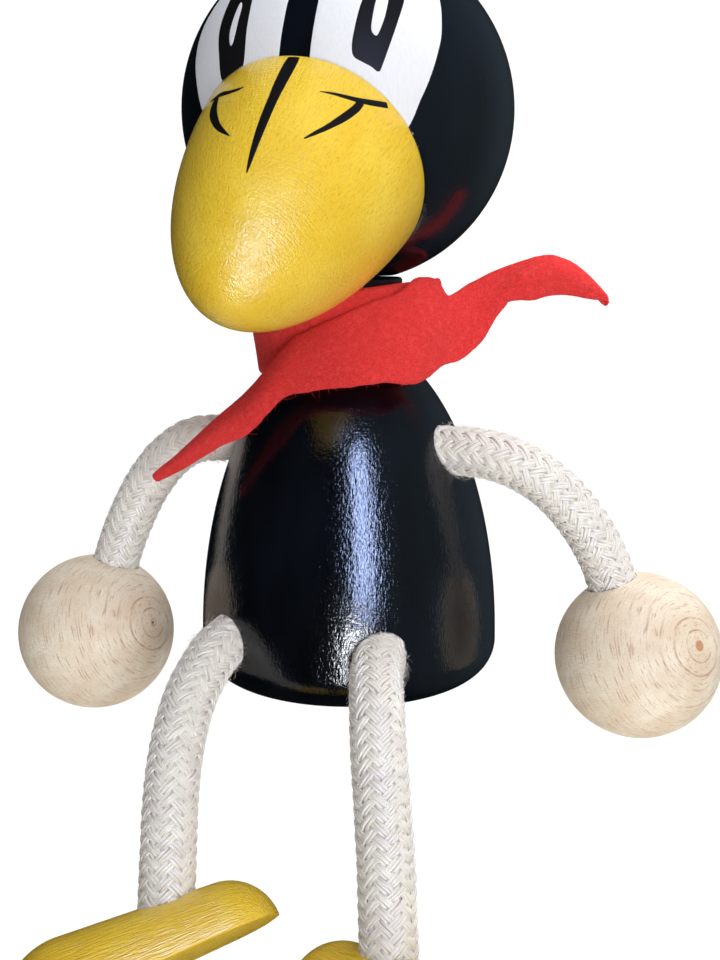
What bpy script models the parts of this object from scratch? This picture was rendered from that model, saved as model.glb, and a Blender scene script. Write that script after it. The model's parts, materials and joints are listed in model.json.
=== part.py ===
"""Hanging crow puppet: turned wooden head, bill and body, braided rope arms and legs,
ball hands and half-round feet.

Metres, +Z up. The origin is the centre of the hanging ring, the crow faces -Y,
and its own left hand is on +X.
"""
import math

import bmesh
import bpy
from mathutils import Matrix, Vector

# ---- driving dimensions ---------------------------------------------------------------

GLUE_GAP = 0.0003               # clearance round a glued or turning piece
BORE_END = 0.0006               # room left at the bottom of a blind bore

RING_RADIUS = 0.0030            # hanging ring, to the middle of its wire
RING_WIRE = 0.0007              # wire radius
RING_RISE = 0.0055              # ring centre above the top of the head
EYE_SHANK = 0.0120              # how deep the screw goes into the head

HEAD_RADIUS = 0.0300
BILL_RADIUS = 0.0207            # widest place, where the bill meets the head
BILL_REACH = 0.0615             # head centre to bill tip
BILL_WIDEST = 0.0150            # head centre to the widest place of the bill's curve
BILL_FULLNESS = 1.7             # power of the bill's outline: 2 is an ellipse
BILL_DROOP = math.radians(30.5)
BILL_DOWEL_RADIUS = 0.0040
BILL_DOWEL_IN_HEAD = 0.0110
BILL_DOWEL_IN_BILL = 0.0110

BODY_RADIUS = 0.0284            # belly
BODY_SHOULDER = 0.0580          # belly to the top of the curve, if it were whole
BODY_SKIRT = 0.0065             # belly to the flat base, a quarter round
HEAD_SEAT = 0.0288              # head centre to the flat under it
NECK_RADIUS = 0.0100            # black neck turned on the body
NECK_LENGTH = 0.0146            # neck's flat top to the shoulder
NECK_PEG_RADIUS = 0.0040
NECK_PEG_IN_HEAD = 0.0110
NECK_PEG_IN_BODY = 0.0280

ARM_ROPE_RADIUS = 0.0044
ARM_BORE_DEPTH = 0.0110
ARM_RISE = 0.0380               # belly up to the arm bores
ARM_HEADING = math.radians(80)  # bore direction, from straight ahead

LEG_ROPE_RADIUS = 0.0046
LEG_BORE_DEPTH = 0.0110
LEG_RISE = 0.0037               # belly up to the leg bores
LEG_HEADING = math.radians(31)  # place of the bore on the belly, from straight ahead
LEG_SPLAY = math.radians(13)    # direction of the bore, from straight ahead
LEG_DIP = math.radians(18)      # the bore points this far down

HAND_RADIUS = 0.0150
HAND_BORE_DEPTH = 0.0090

FOOT_LENGTH = 0.0460
FOOT_HEEL_RADIUS = 0.0088
FOOT_TOE_RADIUS = 0.0103
FOOT_ANKLE = 0.0160             # heel to the leg bore
FOOT_BORE_DEPTH = 0.0060

COLLAR_RADIUS = 0.0174          # felt loop round the neck
COLLAR_WIDTH = 0.0120
COLLAR_DROP = 0.0110            # neck's flat top to the middle of the loop
COLLAR_TILT = math.radians(6)   # the loop sits lower on the crow's right
FELT = 0.0012

# Rope routes outside the bores, in metres from the centre of the head. Each list starts
# a little way out of the body and ends where the rope goes into the hand or the foot.
ARM_ROUTES = {
    "left": [(0.0300, -0.0046, -0.0606), (0.0352, -0.0038, -0.0626),
             (0.0400, -0.0026, -0.0660), (0.0438, -0.0012, -0.0703),
             (0.0470, 0.0000, -0.0752), (0.0490, 0.0008, -0.0794)],
    "right": [(-0.0300, -0.0062, -0.0606), (-0.0346, -0.0080, -0.0640),
              (-0.0382, -0.0098, -0.0692), (-0.0408, -0.0114, -0.0750),
              (-0.0427, -0.0127, -0.0806)],
}
HAND_PLACES = {
    "left": (0.0554, 0.0022, -0.0967),
    "right": (-0.0472, -0.0156, -0.0979),
}
LEG_ROUTES = {
    "left": [(0.0176, -0.0338, -0.0990), (0.0193, -0.0380, -0.1040),
             (0.0209, -0.0412, -0.1094), (0.0224, -0.0442, -0.1150),
             (0.0238, -0.0470, -0.1206), (0.0249, -0.0496, -0.1256)],
    "right": [(-0.0162, -0.0344, -0.0998), (-0.0160, -0.0392, -0.1042),
              (-0.0153, -0.0434, -0.1090), (-0.0143, -0.0470, -0.1142),
              (-0.0132, -0.0500, -0.1194)],
}
# Where a leg's middle line meets the top of its foot, and how the foot hangs:
# roll about its length, toe down (+), and turned out (+ towards the crow's left).
FOOT_PLACES = {
    "left": (0.0262, -0.0526, -0.1312),
    "right": (-0.0114, -0.0546, -0.1284),
}
FOOT_TURNS = {
    "left": (math.radians(26), math.radians(-6), math.radians(62)),
    "right": (math.radians(-38), math.radians(18), math.radians(-54)),
}
# The scarf's crossing strip, upper edge and lower edge, from the crow's right to its left.
SCARF_UPPER = [
    (-0.0304, -0.0198, -0.0640), (-0.0246, -0.0206, -0.0596), (-0.0184, -0.0210, -0.0540),
    (-0.0121, -0.0201, -0.0479), (-0.0050, -0.0184, -0.0410), (0.0052, -0.0170, -0.0368),
    (0.0126, -0.0132, -0.0356), (0.0196, -0.0050, -0.0346), (0.0237, -0.0001, -0.0321),
    (0.0295, 0.0022, -0.0282), (0.0354, 0.0047, -0.0262), (0.0413, 0.0074, -0.0280),
    (0.0462, 0.0082, -0.0322)]
SCARF_LOWER = [
    (-0.0296, -0.0200, -0.0662), (-0.0207, -0.0212, -0.0612), (-0.0148, -0.0222, -0.0578),
    (-0.0093, -0.0217, -0.0538), (-0.0040, -0.0206, -0.0503), (0.0072, -0.0192, -0.0480),
    (0.0148, -0.0154, -0.0468), (0.0215, -0.0056, -0.0444), (0.0261, -0.0011, -0.0404),
    (0.0304, 0.0006, -0.0346), (0.0362, 0.0028, -0.0326), (0.0412, 0.0056, -0.0330),
    (0.0464, 0.0080, -0.0340)]

# ---- places that follow from them -----------------------------------------------------

HEAD_CENTRE = Vector((0, 0, -RING_RISE - HEAD_RADIUS))
NECK_TOP = HEAD_CENTRE.z - HEAD_SEAT - GLUE_GAP
SHOULDER = NECK_TOP - NECK_LENGTH
BELLY = SHOULDER - BODY_SHOULDER * math.sqrt(1 - (NECK_RADIUS / BODY_RADIUS) ** 2)
BILL_AXIS = Vector((0, -math.cos(BILL_DROOP), -math.sin(BILL_DROOP)))

SIDES = {"left": 1, "right": -1}

COLOURS = {
    "black_lacquer": ((0.004, 0.005, 0.008), 0.22, 0.0),
    "yellow_lacquer": ((0.83, 0.58, 0.045), 0.35, 0.0),
    "bare_beech": ((0.80, 0.62, 0.42), 0.6, 0.0),
    "white_rope": ((0.82, 0.81, 0.82), 0.7, 0.0),
    "red_felt": ((0.62, 0.035, 0.04), 0.95, 0.0),
    "steel": ((0.6, 0.6, 0.6), 0.3, 1.0),
}


# ---- helpers --------------------------------------------------------------------------

def clear_scene():
    for obj in list(bpy.data.objects):
        bpy.data.objects.remove(obj, do_unlink=True)


def collection(name):
    group = bpy.data.collections.new(name)
    bpy.context.scene.collection.children.link(group)
    return group


def material(name):
    found = bpy.data.materials.get(name)
    if found:
        return found
    colour, roughness, metallic = COLOURS[name]
    made = bpy.data.materials.new(name)
    made.use_nodes = True
    shader = made.node_tree.nodes["Principled BSDF"]
    shader.inputs["Base Color"].default_value = (*colour, 1)
    shader.inputs["Roughness"].default_value = roughness
    shader.inputs["Metallic"].default_value = metallic
    return made


def put_in(obj, group):
    for old in list(obj.users_collection):
        old.objects.unlink(obj)
    group.objects.link(obj)


def new_object(name, mesh, group, finish=None):
    obj = bpy.data.objects.new(name, mesh)
    group.objects.link(obj)
    if finish:
        obj.data.materials.append(material(finish))
    return obj


def empty_at(name, place, parent=None):
    marker = bpy.data.objects.new(name, None)
    PARTS.objects.link(marker)
    marker.location = Vector(place)
    marker.empty_display_size = 0.01
    if parent:
        attach(marker, parent)
    return marker


def world_place(obj):
    """World place of an unrotated empty in a chain of unrotated empties."""
    place = Vector(obj.location)
    return place if obj.parent is None else place + world_place(obj.parent)


def attach(obj, parent):
    """Parent to an unrotated empty and stay where it is."""
    obj.location = Vector(obj.location) - world_place(parent)
    obj.parent = parent


def turned(name, profile, steps, group, finish=None):
    """Solid of revolution about Z: profile is (radius, height) from top to bottom."""
    shape = bmesh.new()
    points = [shape.verts.new((radius, 0, height)) for radius, height in profile]
    for upper, lower in zip(points, points[1:]):
        shape.edges.new((upper, lower))
    mesh = bpy.data.meshes.new(name)
    shape.to_mesh(mesh)
    shape.free()
    obj = new_object(name, mesh, group, finish)
    spin = obj.modifiers.new("turn", "SCREW")
    spin.axis = "Z"
    spin.steps = steps
    spin.render_steps = steps
    spin.use_merge_vertices = True
    spin.merge_threshold = 1e-6
    spin.use_smooth_shade = True
    return obj


def made_mesh(obj):
    """Apply an object's modifiers, or turn a curve into a welded mesh object."""
    bpy.context.view_layer.update()
    evaluated = obj.evaluated_get(bpy.context.evaluated_depsgraph_get())
    mesh = bpy.data.meshes.new_from_object(evaluated)
    shape = bmesh.new()
    shape.from_mesh(mesh)
    bmesh.ops.remove_doubles(shape, verts=shape.verts, dist=1e-6)
    shape.to_mesh(mesh)
    shape.free()
    name, group, place = obj.name, obj.users_collection[0], obj.matrix_world.copy()
    bpy.data.objects.remove(obj, do_unlink=True)
    solid = bpy.data.objects.new(name, mesh)
    group.objects.link(solid)
    solid.matrix_world = place
    return solid


def aim(obj, direction):
    """Turn an object's Z onto a direction."""
    obj.rotation_euler = Vector(direction).to_track_quat("Z", "Y").to_euler()


def cylinder(name, radius, start, end, group, finish=None, sides=32):
    start, end = Vector(start), Vector(end)
    bpy.ops.mesh.primitive_cylinder_add(
        vertices=sides, radius=radius, depth=(end - start).length, location=(start + end) / 2)
    obj = bpy.context.object
    obj.name = name
    put_in(obj, group)
    aim(obj, end - start)
    if finish:
        obj.data.materials.append(material(finish))
        obj.data.shade_smooth()
        obj.data.set_sharp_from_angle(angle=math.radians(40))
    return obj


def drill(target, name, radius, start, end):
    """Cut a round hole along start to end."""
    tool = cylinder(name, radius, start, end, CUTTERS)
    cut(target, tool)


def cut(target, tool, operation="DIFFERENCE"):
    tool.hide_render = True
    tool.display_type = "WIRE"
    hole = target.modifiers.new(tool.name, "BOOLEAN")
    hole.operation = operation
    hole.solver = "EXACT"
    hole.object = tool


def smooth_route(points, count):
    """Evenly spaced points on a smooth curve through the given ones."""
    points = [Vector(point) for point in points]
    ends = [2 * points[0] - points[1]] + points + [2 * points[-1] - points[-2]]
    fine = []
    for before, start, end, after in zip(ends, ends[1:], ends[2:], ends[3:]):
        for step in range(16):
            t = step / 16
            fine.append(0.5 * (2 * start + (end - before) * t
                               + (2 * before - 5 * start + 4 * end - after) * t ** 2
                               + (3 * start - before - 3 * end + after) * t ** 3))
    fine.append(points[-1])
    lengths = [0.0]
    for start, end in zip(fine, fine[1:]):
        lengths.append(lengths[-1] + (end - start).length)
    even = []
    index = 0
    for number in range(count):
        wanted = lengths[-1] * number / (count - 1)
        while index < len(fine) - 2 and lengths[index + 1] < wanted:
            index += 1
        share = (wanted - lengths[index]) / (lengths[index + 1] - lengths[index])
        even.append(fine[index].lerp(fine[index + 1], min(1.0, share)))
    return even


def tube(name, route, radius, group, finish, resolution=2):
    """Round tube with filled ends along a list of points."""
    curve = bpy.data.curves.new(name, "CURVE")
    curve.dimensions = "3D"
    curve.bevel_depth = radius
    curve.bevel_resolution = resolution
    curve.use_fill_caps = True
    spline = curve.splines.new("POLY")
    spline.points.add(len(route) - 1)
    for point, place in zip(spline.points, route):
        point.co = (*place, 1)
    obj = bpy.data.objects.new(name, curve)
    group.objects.link(obj)
    curve.materials.append(material(finish))
    return obj


# ---- head -----------------------------------------------------------------------------

def bill_radius(distance):
    """Bill's radius at a distance from the head centre along its axis."""
    share = max(0.0, distance - BILL_WIDEST) / (BILL_REACH - BILL_WIDEST)
    return BILL_RADIUS * math.sqrt(max(0.0, 1 - share ** BILL_FULLNESS))


def bill_seat():
    """Distance of the flat on the head, where the ball is as wide as the bill."""
    seat = math.sqrt(HEAD_RADIUS ** 2 - BILL_RADIUS ** 2)
    for _ in range(20):
        seat = math.sqrt(HEAD_RADIUS ** 2 - bill_radius(seat) ** 2)
    return seat


def make_head():
    bpy.ops.mesh.primitive_uv_sphere_add(
        segments=40, ring_count=20, radius=HEAD_RADIUS, location=HEAD_CENTRE)
    head = bpy.context.object
    head.name = "head"
    put_in(head, PARTS)
    head.data.materials.append(material("black_lacquer"))
    head.data.shade_smooth()
    attach(head, HEAD_FRAME)

    seat = HEAD_CENTRE + BILL_AXIS * bill_seat()
    flat = cylinder("bill_seat_cutter", HEAD_RADIUS, seat, seat + BILL_AXIS * HEAD_RADIUS, CUTTERS)
    cut(head, flat)
    drill(head, "bill_dowel_hole", BILL_DOWEL_RADIUS + GLUE_GAP,
          seat + BILL_AXIS * 0.002, seat - BILL_AXIS * (BILL_DOWEL_IN_HEAD + BORE_END))
    bottom = HEAD_CENTRE - Vector((0, 0, HEAD_SEAT))
    seat_cutter = cylinder("neck_seat_cutter", HEAD_RADIUS, bottom,
                           bottom - Vector((0, 0, HEAD_RADIUS)), CUTTERS)
    cut(head, seat_cutter)
    drill(head, "neck_socket", NECK_PEG_RADIUS + GLUE_GAP,
          bottom - Vector((0, 0, 0.002)), bottom + Vector((0, 0, NECK_PEG_IN_HEAD + BORE_END)))
    top = HEAD_CENTRE + Vector((0, 0, HEAD_RADIUS))
    drill(head, "eye_pilot_hole", RING_WIRE + GLUE_GAP,
          top + Vector((0, 0, 0.002)), top - Vector((0, 0, EYE_SHANK + BORE_END)))


def make_bill():
    """Turned egg with a flat back, glued to the flat on the head."""
    back = bill_seat() + GLUE_GAP
    rows = 14
    profile = [(0.0, BILL_REACH)]
    for row in range(1, rows + 1):
        angle = math.pi / 2 * row / rows
        distance = back + (BILL_REACH - back) * math.cos(angle)
        profile.append((bill_radius(distance), distance))
    profile.append((0.0, back))
    bill = turned("bill", profile, 36, PARTS, "yellow_lacquer")
    bill.location = HEAD_CENTRE
    aim(bill, BILL_AXIS)
    attach(bill, HEAD_FRAME)
    seat = HEAD_CENTRE + BILL_AXIS * bill_seat()
    drill(bill, "dowel_hole_in_bill", BILL_DOWEL_RADIUS + GLUE_GAP,
          seat - BILL_AXIS * 0.002, seat + BILL_AXIS * (BILL_DOWEL_IN_BILL + BORE_END))
    dowel = cylinder("bill_dowel", BILL_DOWEL_RADIUS, seat - BILL_AXIS * BILL_DOWEL_IN_HEAD,
                     seat + BILL_AXIS * BILL_DOWEL_IN_BILL, PARTS, "bare_beech", sides=20)
    attach(dowel, HEAD_FRAME)


def make_hanging_eye():
    """Screw eye of one bent wire: a straight shank and a ring that stops short of it."""
    shank_end = -RING_RISE - EYE_SHANK
    first = math.radians(-90)
    last = math.radians(222)
    steps = 22
    route = [Vector((0, 0, shank_end)), Vector((0, 0, -RING_RISE))]
    for step in range(steps + 1):
        angle = first + (last - first) * step / steps
        route.append(Vector((RING_RADIUS * math.cos(angle), 0, RING_RADIUS * math.sin(angle))))
    eye = tube("hanging_eye", route, RING_WIRE, PARTS, "steel")
    attach(eye, HEAD_FRAME)


# ---- body -----------------------------------------------------------------------------

def body_radius(height):
    """Body's radius at a height between the belly and the shoulder."""
    return BODY_RADIUS * math.sqrt(1 - ((height - BELLY) / BODY_SHOULDER) ** 2)


def arm_mouth(side):
    """Where an arm bore's axis meets the body's surface, and its outward direction."""
    out = Vector((SIDES[side] * math.sin(ARM_HEADING), -math.cos(ARM_HEADING), 0))
    height = BELLY + ARM_RISE
    return out * body_radius(height) + Vector((0, 0, height)), out


def leg_mouth(side):
    hand = SIDES[side]
    height = BELLY + LEG_RISE
    place = Vector((hand * math.sin(LEG_HEADING), -math.cos(LEG_HEADING), 0)) * body_radius(height)
    out = Vector((hand * math.sin(LEG_SPLAY) * math.cos(LEG_DIP),
                  -math.cos(LEG_SPLAY) * math.cos(LEG_DIP), -math.sin(LEG_DIP)))
    return place + Vector((0, 0, height)), out


def make_body():
    rows = 13
    first = math.acos(NECK_RADIUS / BODY_RADIUS)
    profile = [(0.0, NECK_TOP), (NECK_RADIUS - GLUE_GAP, NECK_TOP),
               (NECK_RADIUS, NECK_TOP - GLUE_GAP)]
    for row in range(rows + 1):
        height = BELLY + BODY_SHOULDER * math.sin(first * (1 - row / rows))
        profile.append((body_radius(height), height))
    corner = 5
    for row in range(1, corner + 1):
        angle = math.pi / 2 * row / corner
        profile.append((BODY_RADIUS - BODY_SKIRT * (1 - math.cos(angle)),
                        BELLY - BODY_SKIRT * math.sin(angle)))
    profile.append((0.0, BELLY - BODY_SKIRT))
    body = turned("body", profile, 48, PARTS, "black_lacquer")
    attach(body, TORSO_FRAME)
    neck = Vector((0, 0, NECK_TOP))
    drill(body, "neck_peg_hole", NECK_PEG_RADIUS + GLUE_GAP,
          neck + Vector((0, 0, 0.002)), neck - Vector((0, 0, NECK_PEG_IN_BODY + BORE_END)))
    for side in SIDES:
        mouth, out = arm_mouth(side)
        drill(body, side + "_arm_bore", ARM_ROPE_RADIUS + GLUE_GAP,
              mouth + out * 0.004, mouth - out * (ARM_BORE_DEPTH + BORE_END))
        mouth, out = leg_mouth(side)
        drill(body, side + "_leg_bore", LEG_ROPE_RADIUS + GLUE_GAP,
              mouth + out * 0.008, mouth - out * (LEG_BORE_DEPTH + BORE_END))


def make_neck_peg():
    """Beech peg glued into the body; the head turns on it."""
    top = HEAD_CENTRE.z - HEAD_SEAT + NECK_PEG_IN_HEAD
    peg = cylinder("neck_peg", NECK_PEG_RADIUS, (0, 0, NECK_TOP - NECK_PEG_IN_BODY),
                   (0, 0, top), PARTS, "bare_beech", sides=24)
    attach(peg, TORSO_FRAME)


def make_scarf():
    """Felt loop round the neck, joined to the strip that crosses in front with two tails."""
    half = COLLAR_WIDTH / 2
    outer = COLLAR_RADIUS + FELT / 2
    inner = COLLAR_RADIUS - FELT / 2
    profile = [(outer, half), (outer, -half), (inner, -half), (inner, half), (outer, half)]
    loop = turned("scarf_loop", profile, 40, PARTS)
    loop.location = (0, 0, NECK_TOP - COLLAR_DROP)
    loop.rotation_euler = (0, -COLLAR_TILT, 0)
    loop = made_mesh(loop)

    shape = bmesh.new()
    edges = []
    for line in (SCARF_UPPER, SCARF_LOWER):
        even = smooth_route([Vector(point) + HEAD_CENTRE for point in line], 27)
        edges.append([shape.verts.new(point) for point in even])
    upper, lower = edges
    for index in range(len(upper) - 1):
        shape.faces.new((upper[index], lower[index], lower[index + 1], upper[index + 1]))
    mesh = bpy.data.meshes.new("scarf")
    shape.to_mesh(mesh)
    shape.free()
    scarf = new_object("scarf", mesh, PARTS, "red_felt")
    thick = scarf.modifiers.new("felt", "SOLIDIFY")
    thick.thickness = FELT
    thick.offset = 0
    put_in(loop, CUTTERS)
    cut(scarf, loop, "UNION")
    attach(scarf, TORSO_FRAME)


# ---- limbs ----------------------------------------------------------------------------

def make_arm(side):
    """Rope from the shoulder bore into a ball hand."""
    mouth, out = arm_mouth(side)
    hand_centre = HEAD_CENTRE + Vector(HAND_PLACES[side])
    route = [Vector(point) + HEAD_CENTRE for point in ARM_ROUTES[side]]
    wrist = (route[-1] - hand_centre).normalized()
    wrist_end = hand_centre + wrist * (HAND_RADIUS - HAND_BORE_DEPTH)
    wrist_mouth = hand_centre + wrist * (HAND_RADIUS + 0.001)
    shoulder = [mouth - out * ARM_BORE_DEPTH, mouth - out * ARM_BORE_DEPTH / 2,
                mouth, mouth + out * 0.004]
    path = smooth_route(shoulder + route + [wrist_mouth, wrist_end], 18)
    pivot = empty_at(side + "_shoulder", mouth, TORSO_FRAME)
    rope = tube(side + "_arm_rope", path, ARM_ROPE_RADIUS, PARTS, "white_rope", 3)
    attach(rope, pivot)

    turn = empty_at(side + "_wrist", wrist_mouth - world_place(pivot))
    turn.parent = pivot
    bpy.ops.mesh.primitive_uv_sphere_add(
        segments=28, ring_count=14, radius=HAND_RADIUS, location=hand_centre)
    hand = bpy.context.object
    hand.name = side + "_hand"
    put_in(hand, PARTS)
    hand.data.materials.append(material("bare_beech"))
    hand.data.shade_smooth()
    attach(hand, turn)
    drill(hand, side + "_hand_bore", ARM_ROPE_RADIUS + GLUE_GAP,
          wrist_mouth + wrist * 0.003, wrist_end - wrist * BORE_END)


def foot_outline(rows):
    """Turned profile of the foot, toe to heel: two round ends and a straight taper."""
    toe_centre = FOOT_LENGTH - FOOT_TOE_RADIUS
    lean = math.asin((FOOT_TOE_RADIUS - FOOT_HEEL_RADIUS) / (toe_centre - FOOT_HEEL_RADIUS))
    toe_turn = math.pi / 2 + lean
    outline = []
    for row in range(rows + 1):
        angle = toe_turn * row / rows
        outline.append((FOOT_TOE_RADIUS * math.sin(angle),
                        toe_centre + FOOT_TOE_RADIUS * math.cos(angle)))
    for row in range(rows + 1):
        angle = toe_turn + (math.pi - toe_turn) * row / rows
        outline.append((FOOT_HEEL_RADIUS * math.sin(angle),
                        FOOT_HEEL_RADIUS + FOOT_HEEL_RADIUS * math.cos(angle)))
    outline[0] = (0.0, outline[0][1])
    outline[-1] = (0.0, outline[-1][1])
    return outline


def foot_height():
    """Height of the foot's back over its flat sole at the ankle."""
    run = (FOOT_ANKLE - FOOT_HEEL_RADIUS) / (FOOT_LENGTH - FOOT_TOE_RADIUS - FOOT_HEEL_RADIUS)
    return FOOT_HEEL_RADIUS + (FOOT_TOE_RADIUS - FOOT_HEEL_RADIUS) * run


def make_leg(side):
    """Rope from the hip bore down into a half-round foot."""
    mouth, out = leg_mouth(side)
    ankle = HEAD_CENTRE + Vector(FOOT_PLACES[side])
    route = [Vector(point) + HEAD_CENTRE for point in LEG_ROUTES[side]]
    down = (ankle - route[-1]).normalized()
    hip = [mouth - out * LEG_BORE_DEPTH, mouth - out * LEG_BORE_DEPTH / 2,
           mouth, mouth + out * 0.004]
    path = smooth_route(hip + route + [ankle, ankle + down * FOOT_BORE_DEPTH], 18)
    pivot = empty_at(side + "_hip", mouth, TORSO_FRAME)
    rope = tube(side + "_leg_rope", path, LEG_ROPE_RADIUS, PARTS, "white_rope", 3)
    attach(rope, pivot)

    solid = turned(side + "_foot_whole", foot_outline(6), 28, PARTS)
    solid = made_mesh(solid)
    shape = bmesh.new()
    shape.from_mesh(solid.data)
    bmesh.ops.transform(shape, matrix=Matrix.Rotation(math.pi / 2, 4, "X"), verts=shape.verts)
    cut_edge = bmesh.ops.bisect_plane(
        shape, geom=shape.verts[:] + shape.edges[:] + shape.faces[:],
        plane_co=(0, 0, 0), plane_no=(0, 0, 1), clear_inner=True, dist=1e-7)
    rim = [item for item in cut_edge["geom_cut"] if isinstance(item, bmesh.types.BMEdge)]
    bmesh.ops.edgenet_fill(shape, edges=rim)
    bmesh.ops.recalc_face_normals(shape, faces=shape.faces)
    mesh = bpy.data.meshes.new(side + "_foot")
    shape.to_mesh(mesh)
    shape.free()
    bpy.data.objects.remove(solid, do_unlink=True)
    foot = new_object(side + "_foot", mesh, PARTS, "yellow_lacquer")
    roll, pitch, yaw = FOOT_TURNS[side]
    turning = (Matrix.Rotation(yaw, 4, "Z") @ Matrix.Rotation(pitch, 4, "X")
               @ Matrix.Rotation(roll, 4, "Y"))
    foot.rotation_euler = turning.to_euler()
    top = turning @ Vector((0, -FOOT_ANKLE, foot_height()))
    foot.location = ankle - top
    foot.data.shade_smooth()
    foot.data.set_sharp_from_angle(angle=math.radians(40))
    turn = empty_at(side + "_ankle", ankle - world_place(pivot))
    turn.parent = pivot
    attach(foot, turn)
    drill(foot, side + "_foot_bore", LEG_ROPE_RADIUS + GLUE_GAP,
          ankle - down * 0.008, ankle + down * (FOOT_BORE_DEPTH + BORE_END))


# ---- assembly -------------------------------------------------------------------------

clear_scene()
PARTS = collection("crow_puppet")
CUTTERS = collection("cutters")
HEAD_FRAME = empty_at("head_frame", (0, 0, 0))
TORSO_FRAME = empty_at("torso_frame", (0, 0, NECK_TOP))

make_head()
make_bill()
make_hanging_eye()
make_body()
make_neck_peg()
make_scarf()
for limb_side in SIDES:
    make_arm(limb_side)
    make_leg(limb_side)
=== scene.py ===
"""Looks of a hanging crow puppet: lacquered turned wood, painted face, felt scarf, braided rope
arms and legs, bare beech hands, all built round the fixed frame that the solid model gives.

Metres, +Z up. The origin is the centre of the hanging ring, the crow faces -Y,
and its own left hand is on +X.
"""
import json
import math

import bmesh
import bpy
import numpy as np
from bpy.props import FloatProperty, FloatVectorProperty, IntProperty, PointerProperty
from mathutils import Matrix, Vector


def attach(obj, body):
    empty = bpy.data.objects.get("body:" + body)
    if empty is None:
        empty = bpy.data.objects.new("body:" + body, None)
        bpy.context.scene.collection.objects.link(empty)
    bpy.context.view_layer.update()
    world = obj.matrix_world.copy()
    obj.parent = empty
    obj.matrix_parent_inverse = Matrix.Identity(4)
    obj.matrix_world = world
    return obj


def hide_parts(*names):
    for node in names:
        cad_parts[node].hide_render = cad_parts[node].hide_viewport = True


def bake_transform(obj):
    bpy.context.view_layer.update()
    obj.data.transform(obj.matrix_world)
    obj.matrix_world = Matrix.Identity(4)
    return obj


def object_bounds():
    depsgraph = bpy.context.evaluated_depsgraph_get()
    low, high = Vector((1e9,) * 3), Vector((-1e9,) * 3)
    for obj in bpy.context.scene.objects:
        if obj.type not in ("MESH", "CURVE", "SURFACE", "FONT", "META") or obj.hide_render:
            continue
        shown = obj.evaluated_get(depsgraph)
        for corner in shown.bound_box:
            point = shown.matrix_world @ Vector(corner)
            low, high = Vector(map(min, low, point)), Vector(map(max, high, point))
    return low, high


bl_info = {
    "name": "Hanging Crow Puppet",
    "version": (1, 0, 0),
    "blender": (4, 5, 0),
    "location": "View3D > Sidebar > Crow",
    "description": "Finished pieces of a hanging crow puppet, built round its frame",
    "category": "Add Mesh",
}

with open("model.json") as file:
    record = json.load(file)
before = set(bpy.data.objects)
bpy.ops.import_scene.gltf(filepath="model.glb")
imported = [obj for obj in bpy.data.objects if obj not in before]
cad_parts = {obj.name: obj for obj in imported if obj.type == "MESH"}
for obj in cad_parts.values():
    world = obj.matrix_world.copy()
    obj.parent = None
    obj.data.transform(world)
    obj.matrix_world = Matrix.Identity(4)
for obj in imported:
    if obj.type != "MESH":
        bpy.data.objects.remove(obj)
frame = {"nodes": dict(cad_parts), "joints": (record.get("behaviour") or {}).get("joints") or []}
CAD_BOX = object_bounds()
JOINTS = {joint["name"]: joint for joint in frame["joints"]}

MM = 0.001
SIDES = {"left": 1, "right": -1}

# ---- sizes and places of the frame, in metres -------------------------------------------

RING_RISE = 0.0055              # hanging ring's centre above the top of the head
RING_RADIUS = 0.0030
HEAD_RADIUS = 0.0300
HEAD_SEAT = 0.0288              # head centre to the flat under it
HEAD_CENTRE = Vector((0, 0, -RING_RISE - HEAD_RADIUS))
GLUE_GAP = 0.0003

BILL_RADIUS = 0.0207
BILL_REACH = 0.0623             # head centre to bill tip
BILL_WIDEST = 0.0150
BILL_FULLNESS = 1.7
BILL_DROOP = math.radians(30.5)
BILL_AXIS = Vector((0, -math.cos(BILL_DROOP), -math.sin(BILL_DROOP)))

BODY_RADIUS = 0.0284
BODY_SHOULDER = 0.0580
BODY_SKIRT = 0.0065
NECK_RADIUS = 0.0100
NECK_LENGTH = 0.0146
NECK_PEG_RADIUS = 0.0040
HEAD_PEG_DEPTH = 0.0116         # the neck peg's bore in the head
BODY_PEG_DEPTH = 0.0286         # and in the body
NECK_TOP = HEAD_CENTRE.z - HEAD_SEAT - GLUE_GAP
SHOULDER = NECK_TOP - NECK_LENGTH
BELLY = SHOULDER - BODY_SHOULDER * math.sqrt(1 - (NECK_RADIUS / BODY_RADIUS) ** 2)

COLLAR_RADIUS = 0.0174
COLLAR_WIDTH = 0.0135
COLLAR_DROP = 0.0093
COLLAR_TILT = math.radians(8)
FELT = 0.0012

HAND_RADIUS = 0.0150
HAND_BORE_DEPTH = 0.0090
FOOT_LENGTH = 0.0460
FOOT_HEEL_RADIUS = 0.0088
FOOT_TOE_RADIUS = 0.0111
FOOT_ANKLE = 0.0160
FOOT_BORE_DEPTH = 0.0060

# Where each rope leaves the body is its joint's place. These are its direction there, and
# the route from there on, from the centre of the head, the same as in the solid model.
ARM_HEADING = math.radians(80)
LEG_SPLAY = math.radians(13)
LEG_DIP = math.radians(18)
BORE_DEPTH = 0.0110
STRAIGHT_OUT = 0.0040           # a rope keeps its heading this far out of the body
ROPE_PLAY = 0.00015             # between a rope and the wall of its bore
BORE_SPARE = 0.0006             # between a rope's end and the bottom of its bore
ARM_ROUTES = {
    "left": [(0.0300, -0.0046, -0.0606), (0.0352, -0.0038, -0.0626),
             (0.0400, -0.0026, -0.0660), (0.0438, -0.0012, -0.0703),
             (0.0470, 0.0000, -0.0752), (0.0490, 0.0008, -0.0794)],
    "right": [(-0.0300, -0.0062, -0.0606), (-0.0346, -0.0080, -0.0640),
              (-0.0382, -0.0098, -0.0692), (-0.0408, -0.0114, -0.0750),
              (-0.0427, -0.0127, -0.0806)],
}
HAND_PLACES = {
    "left": (0.0554, 0.0022, -0.0967),
    "right": (-0.0472, -0.0156, -0.0979),
}
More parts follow.
